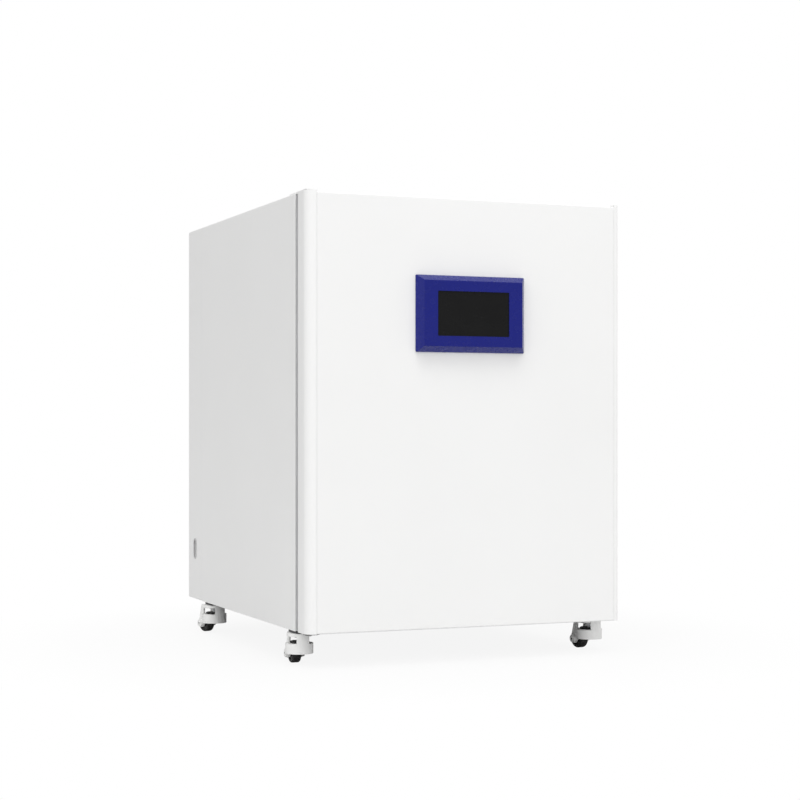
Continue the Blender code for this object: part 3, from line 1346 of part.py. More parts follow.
def cheek_outline():
    """Side plate of the fork, seen along the axle: u is the trail, v the height."""
    hub = (CASTER_TRAIL, WHEEL_RADIUS)
    bite = 0.0005
    outline = [(0.008, HEAD_TOP - bite), (0.030, HEAD_TOP - bite), (0.0335, WINDOW_HIGH - 0.006)]
    outline += arc(hub, 0.010, 15, -160, 5)
    outline += [(0.0145, RING_LOW + bite), (0.012, RING_LOW + bite), (0.012, RING_HIGH - bite)]
    outline += [(0.0215, RING_HIGH - bite), (0.0215, WINDOW_HIGH + bite), (0.008, WINDOW_HIGH + bite)]
    return outline


def make_caster_housing_mesh():
    """Die-cast housing about its swivel axis, trail along +Y: head, nose column, cup and fork."""
    bm = bmesh.new()
    turned(bm, [(0.0, HEAD_TOP), (HEAD_RADIUS, HEAD_TOP), (HEAD_RADIUS, WINDOW_HIGH), (0.0, WINDOW_HIGH)], 20)
    housing = solid("housing", bm, LIGHT_CASTING)
    bm = bmesh.new()
    inner = RING_RADIUS - RING_WALL
    web_low = RING_HIGH - RING_WEB
    profile = [
        (0.0, RING_HIGH), (RING_RADIUS, RING_HIGH), (RING_RADIUS, RING_LOW), (inner, RING_LOW),
        (inner, web_low), (0.0, web_low),
    ]
    turned(bm, profile, 24)
    cup = solid("cup", bm)
    nose = arc((0, 0), RING_RADIUS - 0.0001, -90 - NOSE_ANGLE, -90 + NOSE_ANGLE, 5)
    nose += arc((0, 0), 0.0205, -90 + NOSE_ANGLE, -90 - NOSE_ANGLE, 5)
    column = tool_prism(nose, along_z, RING_HIGH - 0.001, HEAD_TOP - 0.0006)
    pieces = [cup, column]
    for side in (-1, 1):
        low, high = sorted((side * CHEEK_INNER, side * CHEEK_OUTER))
        pieces.append(tool_prism(cheek_outline(), along_x, low, high))
    join(housing, *pieces)
    start, end = CHEEK_OUTER - 0.001, CHEEK_OUTER + 0.0045
    for side in (-1, 1):
        bm = bmesh.new()
        turned(bm, [(0.0, start), (0.0095, start), (0.0085, end), (0.0, end)], 12)
        turn = Matrix.Rotation(side * math.pi / 2, 4, "Y")
        join(housing, solid("boss", bm, None, Matrix.Translation((0, CASTER_TRAIL, WHEEL_RADIUS)) @ turn))
    half = CHEEK_INNER - 0.0003
    wheel_room = tool_block((-half, 0.0085, -0.01), (half, 0.06, web_low + 0.0003))
    pin_room = tool_disc(KINGPIN_RADIUS + SEAT_GAP, along_z, (0, 0), WINDOW_HIGH - 0.003, BASE, 12)
    cut(housing, wheel_room, pin_room)
    cut(housing, tool_disc(STEM_RADIUS + 0.0005, along_z, (0, 0), 0.035, RING_HIGH + 0.003, 12))
    reach = CHEEK_INNER + 0.002
    axle = tool_disc(AXLE_RADIUS, along_x, (CASTER_TRAIL, WHEEL_RADIUS), -reach, reach, 12)
    return join(housing, axle)


def make_wheel_mesh():
    """Solid nylon wheel about its axle, along X, standing on a flat."""
    half = WHEEL_WIDTH / 2
    corner = 0.002
    bore = AXLE_RADIUS + SEAT_GAP
    rim = WHEEL_RADIUS / math.cos(math.pi / WHEEL_SIDES)
    profile = [
        (bore, -half), (rim - corner, -half), (rim, corner - half),
        (rim, half - corner), (rim - corner, half), (bore, half),
    ]
    bm = bmesh.new()
    turned(bm, profile, WHEEL_SIDES, closed=True)
    turn = Matrix.Rotation(math.pi / 2, 4, "Y") @ Matrix.Rotation(math.pi / WHEEL_SIDES, 4, "Z")
    return solid("wheel", bm, BLACK_NYLON, turn)


def make_adjuster_mesh():
    """Toothed nut that is turned with a finger through the windows."""
    outline = []
    for index in range(4 * NUT_TEETH):
        radius = NUT_RADIUS if index % 4 < 2 else NUT_RADIUS - NUT_TOOTH_DEPTH
        angle = math.tau * index / (4 * NUT_TEETH)
        outline.append((radius * math.cos(angle), radius * math.sin(angle)))
    low = RING_HIGH + SEAT_GAP
    bm = bmesh.new()
    prism(bm, outline, along_z, low, low + NUT_HEIGHT)
    nut = solid("adjuster", bm, BLACK_NYLON)
    return cut(nut, tool_disc(STEM_RADIUS + SEAT_GAP, along_z, (0, 0), low - PUNCH, low + 2 * PUNCH, 12))


def make_foot_mesh():
    """Foot pad with a flat towards the wheel, on the stem that the nut drives."""
    flat = 0.0085
    reach = math.degrees(math.asin(flat / FOOT_PAD_RADIUS))
    pad = arc((0, 0), FOOT_PAD_RADIUS, 180 - reach, 360 + reach, 20)
    low = RING_LOW + 0.001
    bm = bmesh.new()
    prism(bm, pad, along_z, low, low + FOOT_PAD_HEIGHT)
    foot = solid("foot", bm, ZINC)
    return join(foot, tool_disc(STEM_RADIUS, along_z, (0, 0), low + 0.6 * FOOT_PAD_HEIGHT, STEM_TOP, 12))


def make_casters():
    masters = {
        "caster_housing": (make_caster_housing_mesh(), LIGHT_CASTING),
        "caster_wheel": (make_wheel_mesh(), BLACK_NYLON),
        "adjuster_nut": (make_adjuster_mesh(), BLACK_NYLON),
        "levelling_foot": (make_foot_mesh(), ZINC),
    }
    for place, (x, y, angle) in CASTER_PLACES.items():
        empty = bpy.data.objects.new("swivel_axis_" + place, None)
        bpy.context.scene.collection.objects.link(empty)
        empty.location = (x, y, 0.0)
        empty.rotation_euler = (0.0, 0.0, angle)
        for kind, (master, look) in masters.items():
            copy = bpy.data.objects.new(kind + "_" + place, master.data.copy())
            bpy.context.scene.collection.objects.link(copy)
            paint(copy, look)
            copy.parent = empty
            if kind == "caster_wheel":
                copy.location = (0.0, CASTER_TRAIL, WHEEL_RADIUS)
    for master, _ in masters.values():
        bpy.data.objects.remove(master, do_unlink=True)


def main():
    clear_scene()
    make_outer_shell()
    make_rear_cover()
    make_base_pan()
    make_front_frame()
    make_inner_chamber()
    make_insulation_jacket()
    make_rear_bulkhead()
    make_hinge_plate("hinge_plate_bottom", True)
    make_hinge_plate("hinge_plate_top", False)
    make_chamber_gasket()
    make_glass_hinge_posts()
    make_latch_keeper()
    make_shelf_rack("shelf_rack_left", -1)
    make_shelf_rack("shelf_rack_right", 1)
    make_duct_cover()
    make_hepa_filter()
    make_fan_motor()
    make_port_sleeve()
    make_port_plug()
    make_gas_inlet()
    make_mains_inlet()
    make_switch_trim()
    make_control_board()
    make_power_supply()
    door = [
        make_door_front_panel(), make_door_foam(), make_door_liner(), make_door_gasket(),
        make_door_edge("door_edge_left", -1, DOOR_EDGE_WIDTH, DOOR_EDGE_RADIUS, 8),
        make_door_edge("door_edge_right", 1, DOOR_GRIP_WIDTH, DOOR_GRIP_RADIUS, 3),
        make_hinge_bush("hinge_bush_bottom", BASE, BASE + BUSH_LENGTH),
        make_hinge_bush("hinge_bush_top", TOP - BUSH_LENGTH, TOP),
    ]
    hang_on("door_hinge_axis", DOOR_HINGE, door + make_screen())
    hang_on("glass_hinge_axis", GLASS_HINGE, [make_glass_pane(), make_glass_hinge_leaves()])
    hang_on("latch_axis", LATCH, [make_glass_latch()])
    for index, height in enumerate(shelf_heights()):
        make_shelf("shelf_%d" % (index + 1), height)
    make_water_pan()
    hang_on("fan_axis", Vector((0, CHAMBER_BACK, FAN_MIDDLE)), [make_fan_impeller()])
    hang_on("rocker_axis", ROCKER_PIVOT, [make_power_rocker()])
    make_casters()


main()
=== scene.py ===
import math

import bmesh
import bpy
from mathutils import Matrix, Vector


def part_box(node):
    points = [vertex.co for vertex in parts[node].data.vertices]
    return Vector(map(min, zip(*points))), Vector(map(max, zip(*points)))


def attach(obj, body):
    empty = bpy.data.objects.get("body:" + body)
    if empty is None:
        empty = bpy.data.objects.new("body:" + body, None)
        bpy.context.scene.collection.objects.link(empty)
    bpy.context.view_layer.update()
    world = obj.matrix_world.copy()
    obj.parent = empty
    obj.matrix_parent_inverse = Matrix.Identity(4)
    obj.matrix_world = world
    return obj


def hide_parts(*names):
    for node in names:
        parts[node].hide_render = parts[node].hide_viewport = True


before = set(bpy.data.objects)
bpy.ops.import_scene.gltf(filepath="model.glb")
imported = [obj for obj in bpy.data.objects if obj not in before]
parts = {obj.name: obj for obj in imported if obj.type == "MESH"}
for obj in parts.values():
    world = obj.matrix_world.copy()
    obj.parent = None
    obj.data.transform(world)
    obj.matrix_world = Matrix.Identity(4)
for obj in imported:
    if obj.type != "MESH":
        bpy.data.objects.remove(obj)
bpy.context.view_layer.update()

scene = bpy.context.scene


# The room: a pale seamless floor under a wide soft sky that is brightest ahead of the
# door and above it, one softbox overhead, and the camera that took the photo.

room = bpy.data.worlds.new("studio")
room.use_nodes = True
scene.world = room
air = room.node_tree
air.nodes.clear()
sky_way = air.nodes.new("ShaderNodeTexCoord")
sky_ray = air.nodes.new("ShaderNodeLightPath")
sky_end = air.nodes.new("ShaderNodeOutputWorld")


def sky_feed(socket, given):
    """Sets a socket of the sky to a number, or feeds it from another node."""
    if isinstance(given, float):
        socket.default_value = given
    else:
        air.links.new(given, socket)


def sky_sum(how, one, two):
    step = air.nodes.new("ShaderNodeMath")
    step.operation = how
    sky_feed(step.inputs[0], one)
    sky_feed(step.inputs[1], two)
    return step.outputs[0]


def glow(towards, tightness, strength):
    """Light from one side of the sky that fades away from that side."""
    facing = air.nodes.new("ShaderNodeVectorMath")
    facing.operation = "DOT_PRODUCT"
    facing.inputs[1].default_value = Vector(towards).normalized()
    air.links.new(sky_way.outputs["Generated"], facing.inputs[0])
    this_side = sky_sum("MAXIMUM", facing.outputs["Value"], 0.0)
    return sky_sum("MULTIPLY", sky_sum("POWER", this_side, tightness), strength)


def sky_light(tone, strength):
    light = air.nodes.new("ShaderNodeBackground")
    light.inputs["Color"].default_value = (tone, tone, tone, 1.0)
    sky_feed(light.inputs["Strength"], strength)
    return light.outputs[0]


def sky_choice(share, usual, other):
    """The usual light, or the other one for the rays that the share picks out."""
    mix = air.nodes.new("ShaderNodeMixShader")
    for socket, given in zip(mix.inputs, (share, usual, other)):
        air.links.new(given, socket)
    return mix.outputs[0]


SKY_TONE = 0.8
AHEAD_OF_DOOR = (-0.38, -0.85, 0.50)
BESIDE_CASING = (-0.90, -0.35, 0.30)
OVERHEAD = (0.0, 0.0, 1.0)
lit_evenly = 0.72
shine_evenly = 0.50
lit_ahead = glow(AHEAD_OF_DOOR, 2.0, 1.12)
shine_beside = glow(BESIDE_CASING, 2.0, 0.55)
shine_above = glow(OVERHEAD, 4.0, 1.50)
sky_lit = sky_light(SKY_TONE, sky_sum("ADD", lit_ahead, lit_evenly))
sky_shine = sky_light(SKY_TONE, sky_sum("ADD", sky_sum("ADD", shine_beside, shine_above), shine_evenly))
sky = sky_choice(sky_ray.outputs["Is Glossy Ray"], sky_lit, sky_shine)
straight_ray = sky_ray.outputs["Is Camera Ray"]
through_ray = sky_ray.outputs["Is Transmission Ray"]
white_wall = sky_light(1.0, 1.0)
sky_or_wall = sky_choice(sky_sum("MAXIMUM", straight_ray, through_ray), sky, white_wall)
air.links.new(sky_or_wall, sky_end.inputs["Surface"])

FLOOR_HALF = 30.0
floor_corners = [(x * FLOOR_HALF, y * FLOOR_HALF, 0.0) for x, y in ((-1, -1), (1, -1), (1, 1), (-1, 1))]
floor_mesh = bpy.data.meshes.new("floor")
floor_mesh.from_pydata(floor_corners, [], [(0, 1, 2, 3)])
floor = bpy.data.objects.new("floor", floor_mesh)
scene.collection.objects.link(floor)

FLOOR_TONE = 0.75
WHITE_SHARE_UNDER = 0.90
WHITENS_FROM = 0.42
WHITE_BEYOND = 1.0
floor_paint = bpy.data.materials.new("floor_paint")
floor_paint.use_nodes = True
screed = floor_paint.node_tree
screed.nodes.clear()
floor_out = screed.nodes.new("ShaderNodeOutputMaterial")
floor_matt = screed.nodes.new("ShaderNodeBsdfDiffuse")
floor_matt.inputs["Color"].default_value = (FLOOR_TONE, FLOOR_TONE, FLOOR_TONE, 1.0)
floor_white = screed.nodes.new("ShaderNodeEmission")
floor_white.inputs["Strength"].default_value = 1.0
floor_ray = screed.nodes.new("ShaderNodeLightPath")
floor_place = screed.nodes.new("ShaderNodeTexCoord")
floor_reach = screed.nodes.new("ShaderNodeVectorMath")
floor_reach.operation = "LENGTH"
floor_fade = screed.nodes.new("ShaderNodeMapRange")
floor_fade.interpolation_type = "SMOOTHSTEP"
floor_fade.inputs["From Min"].default_value = WHITENS_FROM
floor_fade.inputs["From Max"].default_value = WHITE_BEYOND
floor_fade.inputs["To Min"].default_value = WHITE_SHARE_UNDER
floor_fade.inputs["To Max"].default_value = 1.0
floor_seen = screed.nodes.new("ShaderNodeMath")
floor_seen.operation = "MULTIPLY"
floor_mix = screed.nodes.new("ShaderNodeMixShader")
screed.links.new(floor_place.outputs["Object"], floor_reach.inputs[0])
screed.links.new(floor_reach.outputs["Value"], floor_fade.inputs["Value"])
screed.links.new(floor_fade.outputs["Result"], floor_seen.inputs[0])
screed.links.new(floor_ray.outputs["Is Camera Ray"], floor_seen.inputs[1])
screed.links.new(floor_seen.outputs[0], floor_mix.inputs[0])
screed.links.new(floor_matt.outputs[0], floor_mix.inputs[1])
screed.links.new(floor_white.outputs[0], floor_mix.inputs[2])
screed.links.new(floor_mix.outputs[0], floor_out.inputs["Surface"])
floor_mesh.materials.append(floor_paint)

lamp = bpy.data.lights.new("top_softbox", "AREA")
lamp.shape = "RECTANGLE"
lamp.size = 2.4
lamp.size_y = 1.0
lamp.energy = 28.0
top_softbox = bpy.data.objects.new("top_softbox", lamp)
top_softbox.location = (-0.3, -1.5, 3.4)
softbox_target = Vector((0.0, -0.3, 0.6))
softbox_aim = softbox_target - top_softbox.location
top_softbox.rotation_euler = softbox_aim.to_track_quat("-Z", "Y").to_euler()
scene.collection.objects.link(top_softbox)
top_softbox.visible_camera = False
top_softbox.visible_glossy = False

scene.view_settings.view_transform = "Standard"
eye = bpy.data.cameras.new("photo_camera")
eye.lens = 80.37
eye.sensor_width = 36.0
eye.shift_y = 0.03125
eye.clip_end = 100.0
eye_level = math.pi / 2
eye_heading = math.radians(-22.32)
photo_camera = bpy.data.objects.new("photo_camera", eye)
photo_camera.location = (-1.4646, -3.6296, 0.4684)
photo_camera.rotation_euler = (eye_level, 0.0, eye_heading)
scene.collection.objects.link(photo_camera)
scene.camera = photo_camera


# The casing: a wrap of mild steel sheet over the top and both sides, and a deep pan
# that closes the back. Both are folded, then powder coated white with a fine orange peel.

# Noise rarely leaves the span between these two, so finishes run from one to the other.
GRAIN_LOW = 0.3
GRAIN_HIGH = 0.7


def new_finish(name):
    """An empty finish with its surface shader ready to be set."""
    finish = bpy.data.materials.new(name)
    finish.use_nodes = True
    return finish, finish.node_tree.nodes, finish.node_tree.links, finish.node_tree.nodes["Principled BSDF"]


def grain(nodes, links, scale, detail=2.0, stretch=(1.0, 1.0, 1.0)):
    """Noise fixed to the piece; a small stretch draws it out along that axis."""
    place = nodes.new("ShaderNodeTexCoord")
    turn = nodes.new("ShaderNodeMapping")
    turn.inputs["Scale"].default_value = stretch
    noise = nodes.new("ShaderNodeTexNoise")
    noise.inputs["Scale"].default_value = scale
    noise.inputs["Detail"].default_value = detail
    links.new(place.outputs["Object"], turn.inputs["Vector"])
    links.new(turn.outputs["Vector"], noise.inputs["Vector"])
    return noise.outputs["Fac"]


def tint(nodes, links, amount, low, high, socket):
    """Shades a colour between two tones as the grain goes."""
    tones = nodes.new("ShaderNodeValToRGB")
    tones.color_ramp.elements[0].position = GRAIN_LOW
    tones.color_ramp.elements[1].position = GRAIN_HIGH
    tones.color_ramp.elements[0].color = (*low, 1.0)
    tones.color_ramp.elements[1].color = (*high, 1.0)
    links.new(amount, tones.inputs["Fac"])
    links.new(tones.outputs["Color"], socket)


def spread(nodes, links, amount, low, high, socket):
    """Moves a number between two values as the grain goes."""
    span = nodes.new("ShaderNodeMapRange")
    span.inputs["From Min"].default_value = GRAIN_LOW
    span.inputs["From Max"].default_value = GRAIN_HIGH
    span.inputs["To Min"].default_value = low
    span.inputs["To Max"].default_value = high
    links.new(amount, span.inputs["Value"])
    links.new(span.outputs["Result"], socket)


def soften(nodes, links, radius, socket):
    """Shades the edges as if they were rounded off by a radius."""
    edge = nodes.new("ShaderNodeBevel")
    edge.samples = 4
    edge.inputs["Radius"].default_value = radius
    links.new(edge.outputs["Normal"], socket)


def raise_grain(nodes, links, amount, strength, depth, surface, edge=0.0007):
    """Lets the grain stand up from a surface whose edges are rounded off."""
    bump = nodes.new("ShaderNodeBump")
    soften(nodes, links, edge, bump.inputs["Normal"])
    bump.inputs["Strength"].default_value = strength
    bump.inputs["Distance"].default_value = depth
    links.new(amount, bump.inputs["Height"])
    links.new(bump.outputs["Normal"], surface.inputs["Normal"])


def powder_coat(name, colour, gloss, edge=0.0007):
    """Baked powder, hardly cloudy, with its orange peel."""
    finish, nodes, links, surface = new_finish(name)
    dull = tuple(0.985 * c for c in colour)
    clouds = grain(nodes, links, 3.5)
    patches = grain(nodes, links, 25.0)
    peel = grain(nodes, links, 420.0)
    tint(nodes, links, clouds, dull, colour, surface.inputs["Base Color"])
    spread(nodes, links, patches, gloss - 0.03, gloss + 0.03, surface.inputs["Roughness"])
    raise_grain(nodes, links, peel, 0.05, 0.0003, surface, edge)
    surface.inputs["Specular IOR Level"].default_value = 0.35
    return finish


def even_out(part):
    """Shades the round faces of a piece smoothly and keeps its corners crisp."""
    part.data.shade_smooth()
    joined = part.modifiers.new("joined_facets", "WELD")
    joined.merge_threshold = 0.00001
    corners = part.modifiers.new("crisp_corners", "EDGE_SPLIT")
    corners.split_angle = math.radians(36)
    corners.use_edge_sharp = False
    faces = part.modifiers.new("smooth_faces", "WEIGHTED_NORMAL")
    faces.weight = 80


def wear(name, finish):
    """Puts a finish on a CAD piece that keeps its own shape."""
    part = parts[name]
    even_out(part)
    if not part.material_slots:
        part.data.materials.append(finish)
    part.material_slots[0].material = finish


def turned(bm, place, facing, profile, sides=20, six_sided=(), closed=False):
    """Turns a profile of radii and heights about an axis, into a ring if the profile is closed."""
    aim = Vector(facing).to_track_quat("Z", "Y").to_matrix()
    flat = math.pi / 3
    rings = []
    for step, (radius, height) in enumerate(profile):
        ring = []
        for k in range(sides):
            angle = 2 * math.pi * k / sides
            reach = radius
            if step in six_sided:
                reach *= math.cos(flat / 2) / math.cos(angle % flat - flat / 2)
            spot = Vector((reach * math.cos(angle), reach * math.sin(angle), height))
            ring.append(bm.verts.new(Vector(place) + aim @ spot))
        rings.append(ring)
    for low_ring, high_ring in zip(rings, rings[1:] + rings[:int(closed)]):
        for k in range(sides):
            after = (k + 1) % sides
            bm.faces.new((low_ring[k], low_ring[after], high_ring[after], high_ring[k]))
    if not closed:
        bm.faces.new(rings[-1])


def piece(name, bm, finish, body):
    """Makes a piece of the mesh, in its finish, and lets it ride on a body of the frame."""
    bmesh.ops.recalc_face_normals(bm, faces=bm.faces)
    mesh = bpy.data.meshes.new(name)
    bm.to_mesh(mesh)
    bm.free()
    mesh.materials.append(finish)
    made = bpy.data.objects.new(name, mesh)
    scene.collection.objects.link(made)
    even_out(made)
    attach(made, body)
    return made


def seat_on(node, start, way):
    """Where a line from a start first meets a CAD piece."""
    met, spot = parts[node].ray_cast(Vector(start), Vector(way).normalized())[:2]
    if not met:
        raise ValueError("nothing to sit on at " + node)
    return spot


def screws(name, node, starts, way, head, finish, body):
    """Button-head socket screws, each seated on the CAD piece that it holds."""
    bm = bmesh.new()
    facing = -Vector(way)
    tall = 0.55 * head
    sunk = -0.0004
    button = ((head, sunk), (head, 0.25 * tall), (0.92 * head, 0.62 * tall), (0.70 * head, tall))
    socket = ((0.52 * head, tall), (0.50 * head, 0.35 * tall))
    socket_steps = (len(button), len(button) + 1)
    for start in starts:
        turned(bm, seat_on(node, start, way), facing, button + socket, 24, socket_steps)
    piece(name, bm, finish, body)


WHITE = (0.90, 0.90, 0.895)
wear("outer_shell", powder_coat("casing_white", WHITE, gloss=0.42))
wear("rear_cover", powder_coat("rear_cover_white", WHITE, gloss=0.42))


def screw_zinc(name):
    """Bright zinc plate, a little uneven."""
    finish, nodes, links, surface = new_finish(name)
    cloud = grain(nodes, links, 220.0, 3.0)
    pits = grain(nodes, links, 1500.0)
    tint(nodes, links, cloud, (0.56, 0.57, 0.59), (0.68, 0.69, 0.71), surface.inputs["Base Color"])
    spread(nodes, links, cloud, 0.24, 0.38, surface.inputs["Roughness"])
    raise_grain(nodes, links, pits, 0.08, 0.0001, surface, edge=0.0003)
    surface.inputs["Metallic"].default_value = 1.0
    return finish


# How far off a line starts that looks for a seat.
AWAY = 0.1
FROM_BEHIND = (0, -1, 0)
COVER_SCREW_HEAD = 0.0038
COVER_SCREW_IN = 0.016
COVER_SCREWS_UP = (0.020, 0.222, 0.425, 0.628, 0.830)
cover_low, cover_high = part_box("rear_cover")
behind_cover = cover_high.y + AWAY
cover_side = cover_high.x - COVER_SCREW_IN
cover_rows = [cover_low.z + up for up in COVER_SCREWS_UP]
cover_rim = [(side * cover_side, behind_cover, z) for side in (-1, 1) for z in cover_rows]
cover_rim += [(0.0, behind_cover, z) for z in (cover_rows[0], cover_rows[-1])]
screws(
    "rear_cover_screws", "rear_cover", cover_rim, FROM_BEHIND, COVER_SCREW_HEAD,
    screw_zinc("cover_screw_zinc"), "cabinet",
)


# The base pan: a folded steel tray under the cabinet with the caster plates welded on.
# It is dipped in black primer, and its black also paints the shade in the gap between the cabinet and the
# casters.


# Black primer whose darkness also stands in for shade wherever it is used: under the cabinet, under the
# door's corner and in the axle holes.
def black_primer_as_shade(name):
    finish, nodes, links, surface = new_finish(name)
    runs = grain(nodes, links, 60.0, 4.0)
    patches = grain(nodes, links, 90.0)
    dust = grain(nodes, links, 700.0)
    tint(nodes, links, runs, (0.035, 0.035, 0.038), (0.060, 0.060, 0.064), surface.inputs["Base Color"])
    spread(nodes, links, patches, 0.42, 0.60, surface.inputs["Roughness"])
    raise_grain(nodes, links, dust, 0.10, 0.0002, surface)
    return finish


wear("base_pan", black_primer_as_shade("base_pan_primer_painted_shade"))


# The outer door: a folded front panel between two extruded edge profiles, filled with
# foam, closed inside by a vacuum-formed liner, with a grey bellows gasket round it.


def moulded(name, colour, gloss, pore=1200.0, lift=0.08, shine=0.4):
    """Injection-moulded plastic with a fine spark-eroded skin."""
    finish, nodes, links, surface = new_finish(name)
    shade = tuple(0.975 * c for c in colour)
    clouds = grain(nodes, links, 14.0)
    patches = grain(nodes, links, 60.0)
    skin = grain(nodes, links, pore)
    tint(nodes, links, clouds, shade, colour, surface.inputs["Base Color"])
    spread(nodes, links, patches, gloss - 0.04, gloss + 0.04, surface.inputs["Roughness"])
    raise_grain(nodes, links, skin, lift, 0.0002, surface)
    surface.inputs["Specular IOR Level"].default_value = shine
    return finish


def rubbery(name, colour, gloss):
    finish, nodes, links, surface = new_finish(name)
    dusty = tuple(min(1.0, 1.12 * c) for c in colour)
    bloom = grain(nodes, links, 35.0, 4.0)
    patches = grain(nodes, links, 80.0)
    skin = grain(nodes, links, 500.0)
    tint(nodes, links, bloom, colour, dusty, surface.inputs["Base Color"])
    spread(nodes, links, patches, gloss - 0.05, gloss + 0.05, surface.inputs["Roughness"])
    raise_grain(nodes, links, skin, 0.06, 0.0002, surface)
    surface.inputs["Specular IOR Level"].default_value = 0.3
    return finish


def foam(name, colour):
    finish, nodes, links, surface = new_finish(name)
    pit = tuple(0.75 * c for c in colour)
    cells = grain(nodes, links, 350.0, 3.0)
    patches = grain(nodes, links, 40.0)
    tint(nodes, links, cells, pit, colour, surface.inputs["Base Color"])
    spread(nodes, links, patches, 0.85, 0.95, surface.inputs["Roughness"])
    raise_grain(nodes, links, cells, 0.5, 0.0008, surface)
    surface.inputs["Specular IOR Level"].default_value = 0.1
    return finish


CLOSE_SEAM = 0.0002
FOAM_CREAM = (0.80, 0.72, 0.48)
wear("door_front_panel", powder_coat("door_panel_white", WHITE, gloss=0.40, edge=CLOSE_SEAM))
wear("door_edge_left", powder_coat("door_edge_left_white", WHITE, gloss=0.40, edge=CLOSE_SEAM))
wear("door_edge_right", powder_coat("door_edge_right_white", WHITE, gloss=0.40, edge=CLOSE_SEAM))
wear("door_liner", moulded("door_liner_white", (0.86, 0.86, 0.85), gloss=0.38, pore=500.0, lift=0.03))
wear("door_gasket", rubbery("door_gasket_grey", (0.74, 0.74, 0.75), gloss=0.62))
wear("door_foam", foam("door_foam_cream", FOAM_CREAM))


# The door hinges: two laser-cut steel plates with a turned pin, the lower one primed black as painted shade
# under the door's corner and the upper one white, and the nylon bushes in the ends of the left edge
# profile.

PLAIN_BLACK = (0.03, 0.03, 0.03)
# The lower plate is primed black: painted shade under the door's bottom corner.
wear("hinge_plate_bottom", black_primer_as_shade("hinge_bottom_primer_painted_shade"))
wear("hinge_plate_top", powder_coat("hinge_top_white", WHITE, gloss=0.42))
wear("hinge_bush_bottom", moulded("hinge_bush_bottom_nylon", PLAIN_BLACK, gloss=0.5))
wear("hinge_bush_top", moulded("hinge_bush_top_nylon", PLAIN_BLACK, gloss=0.5))


# The screen: a bevelled bezel moulded in deep blue, a dark touch glass behind its
# window, and a steel box with the electronics that reaches into the door.


def touch_glass(name):
    finish, nodes, links, surface = new_finish(name)
    film = grain(nodes, links, 9.0, 4.0)
    wipes = grain(nodes, links, 18.0, 5.0)
    dark = (0.0082, 0.0082, 0.0084)
    less_dark = (0.0094, 0.0094, 0.0096)
    tint(nodes, links, film, dark, less_dark, surface.inputs["Base Color"])
    spread(nodes, links, wipes, 0.22, 0.34, surface.inputs["Roughness"])
    surface.inputs["Specular IOR Level"].default_value = 0.12
    surface.inputs["Coat Weight"].default_value = 0.10
    surface.inputs["Coat Roughness"].default_value = 0.08
    return finish


def galvanised(name):
    """Zinc-coated sheet with its spangle."""
    finish, nodes, links, surface = new_finish(name)
    place = nodes.new("ShaderNodeTexCoord")
    spangle = nodes.new("ShaderNodeTexVoronoi")
    spangle.inputs["Scale"].default_value = 90.0
    links.new(place.outputs["Object"], spangle.inputs["Vector"])
    flakes = spangle.outputs["Distance"]
    tint(nodes, links, flakes, (0.50, 0.51, 0.53), (0.62, 0.63, 0.65), surface.inputs["Base Color"])
    spread(nodes, links, flakes, 0.32, 0.46, surface.inputs["Roughness"])
    soften(nodes, links, 0.0005, surface.inputs["Normal"])
    surface.inputs["Metallic"].default_value = 0.9
    return finish


BEZEL_BLUE = (0.0052, 0.0105, 0.192)
wear("screen_bezel", moulded("bezel_blue", BEZEL_BLUE, gloss=0.26, pore=700.0, lift=0.005, shine=0.35))
wear("screen_glass", touch_glass("touch_glass_dark"))
wear("screen_module", galvanised("screen_box_zinc"))


# The front frame and the chamber: pressed stainless steel, brushed on the frame and
# drawn with large round corners inside, so that it wipes clean. Foam fills the walls.


def brushed(name, colour, gloss, along, lift=0.10):
    """Stainless steel with its brush lines along one axis: x, y or z."""
    finish, nodes, links, surface = new_finish(name)
    drawn = 0.02
    stretch = {"x": (drawn, 1.0, 1.0), "y": (1.0, drawn, 1.0), "z": (1.0, 1.0, drawn)}[along]
    lines = grain(nodes, links, 900.0, 3.0, stretch)
    shade = tuple(0.90 * c for c in colour)
    tint(nodes, links, lines, shade, colour, surface.inputs["Base Color"])
    spread(nodes, links, lines, gloss - 0.06, gloss + 0.06, surface.inputs["Roughness"])
    raise_grain(nodes, links, lines, lift, 0.0001, surface)
    surface.inputs["Metallic"].default_value = 0.85
    return finish


STEEL = (0.72, 0.725, 0.73)
PALE_STEEL = (0.80, 0.805, 0.81)
wear("front_frame", brushed("front_frame_steel", PALE_STEEL, gloss=0.42, along="z"))
wear("inner_chamber", brushed("chamber_steel", STEEL, gloss=0.26, along="y", lift=0.05))
wear("chamber_gasket", rubbery("chamber_gasket_silicone", (0.78, 0.78, 0.76), gloss=0.55))
wear("insulation_jacket", foam("insulation_cream", FOAM_CREAM))


# The inner glass door: a toughened pane that seals on the silicone gasket, with steel
# leaves and pins on the left and a turning knob with its keeper on the right.


def clear_pane(name):
    finish, nodes, links, surface = new_finish(name)
    clouds = grain(nodes, links, 2.0)
    waves = grain(nodes, links, 6.0)
    tint(nodes, links, clouds, (0.94, 0.985, 0.97), (0.96, 0.99, 0.98), surface.inputs["Base Color"])
    spread(nodes, links, waves, 0.0, 0.015, surface.inputs["Roughness"])
    surface.inputs["Transmission Weight"].default_value = 1.0
    surface.inputs["IOR"].default_value = 1.46
    return finish


wear("glass_pane", clear_pane("toughened_glass"))
wear("glass_hinge_leaves", brushed("glass_leaves_steel", STEEL, gloss=0.28, along="z"))
wear("glass_hinge_posts", brushed("glass_posts_steel", STEEL, gloss=0.30, along="z"))
wear("latch_keeper", brushed("keeper_steel", STEEL, gloss=0.30, along="z"))
wear("glass_latch", moulded("latch_black", PLAIN_BLACK, gloss=0.42))

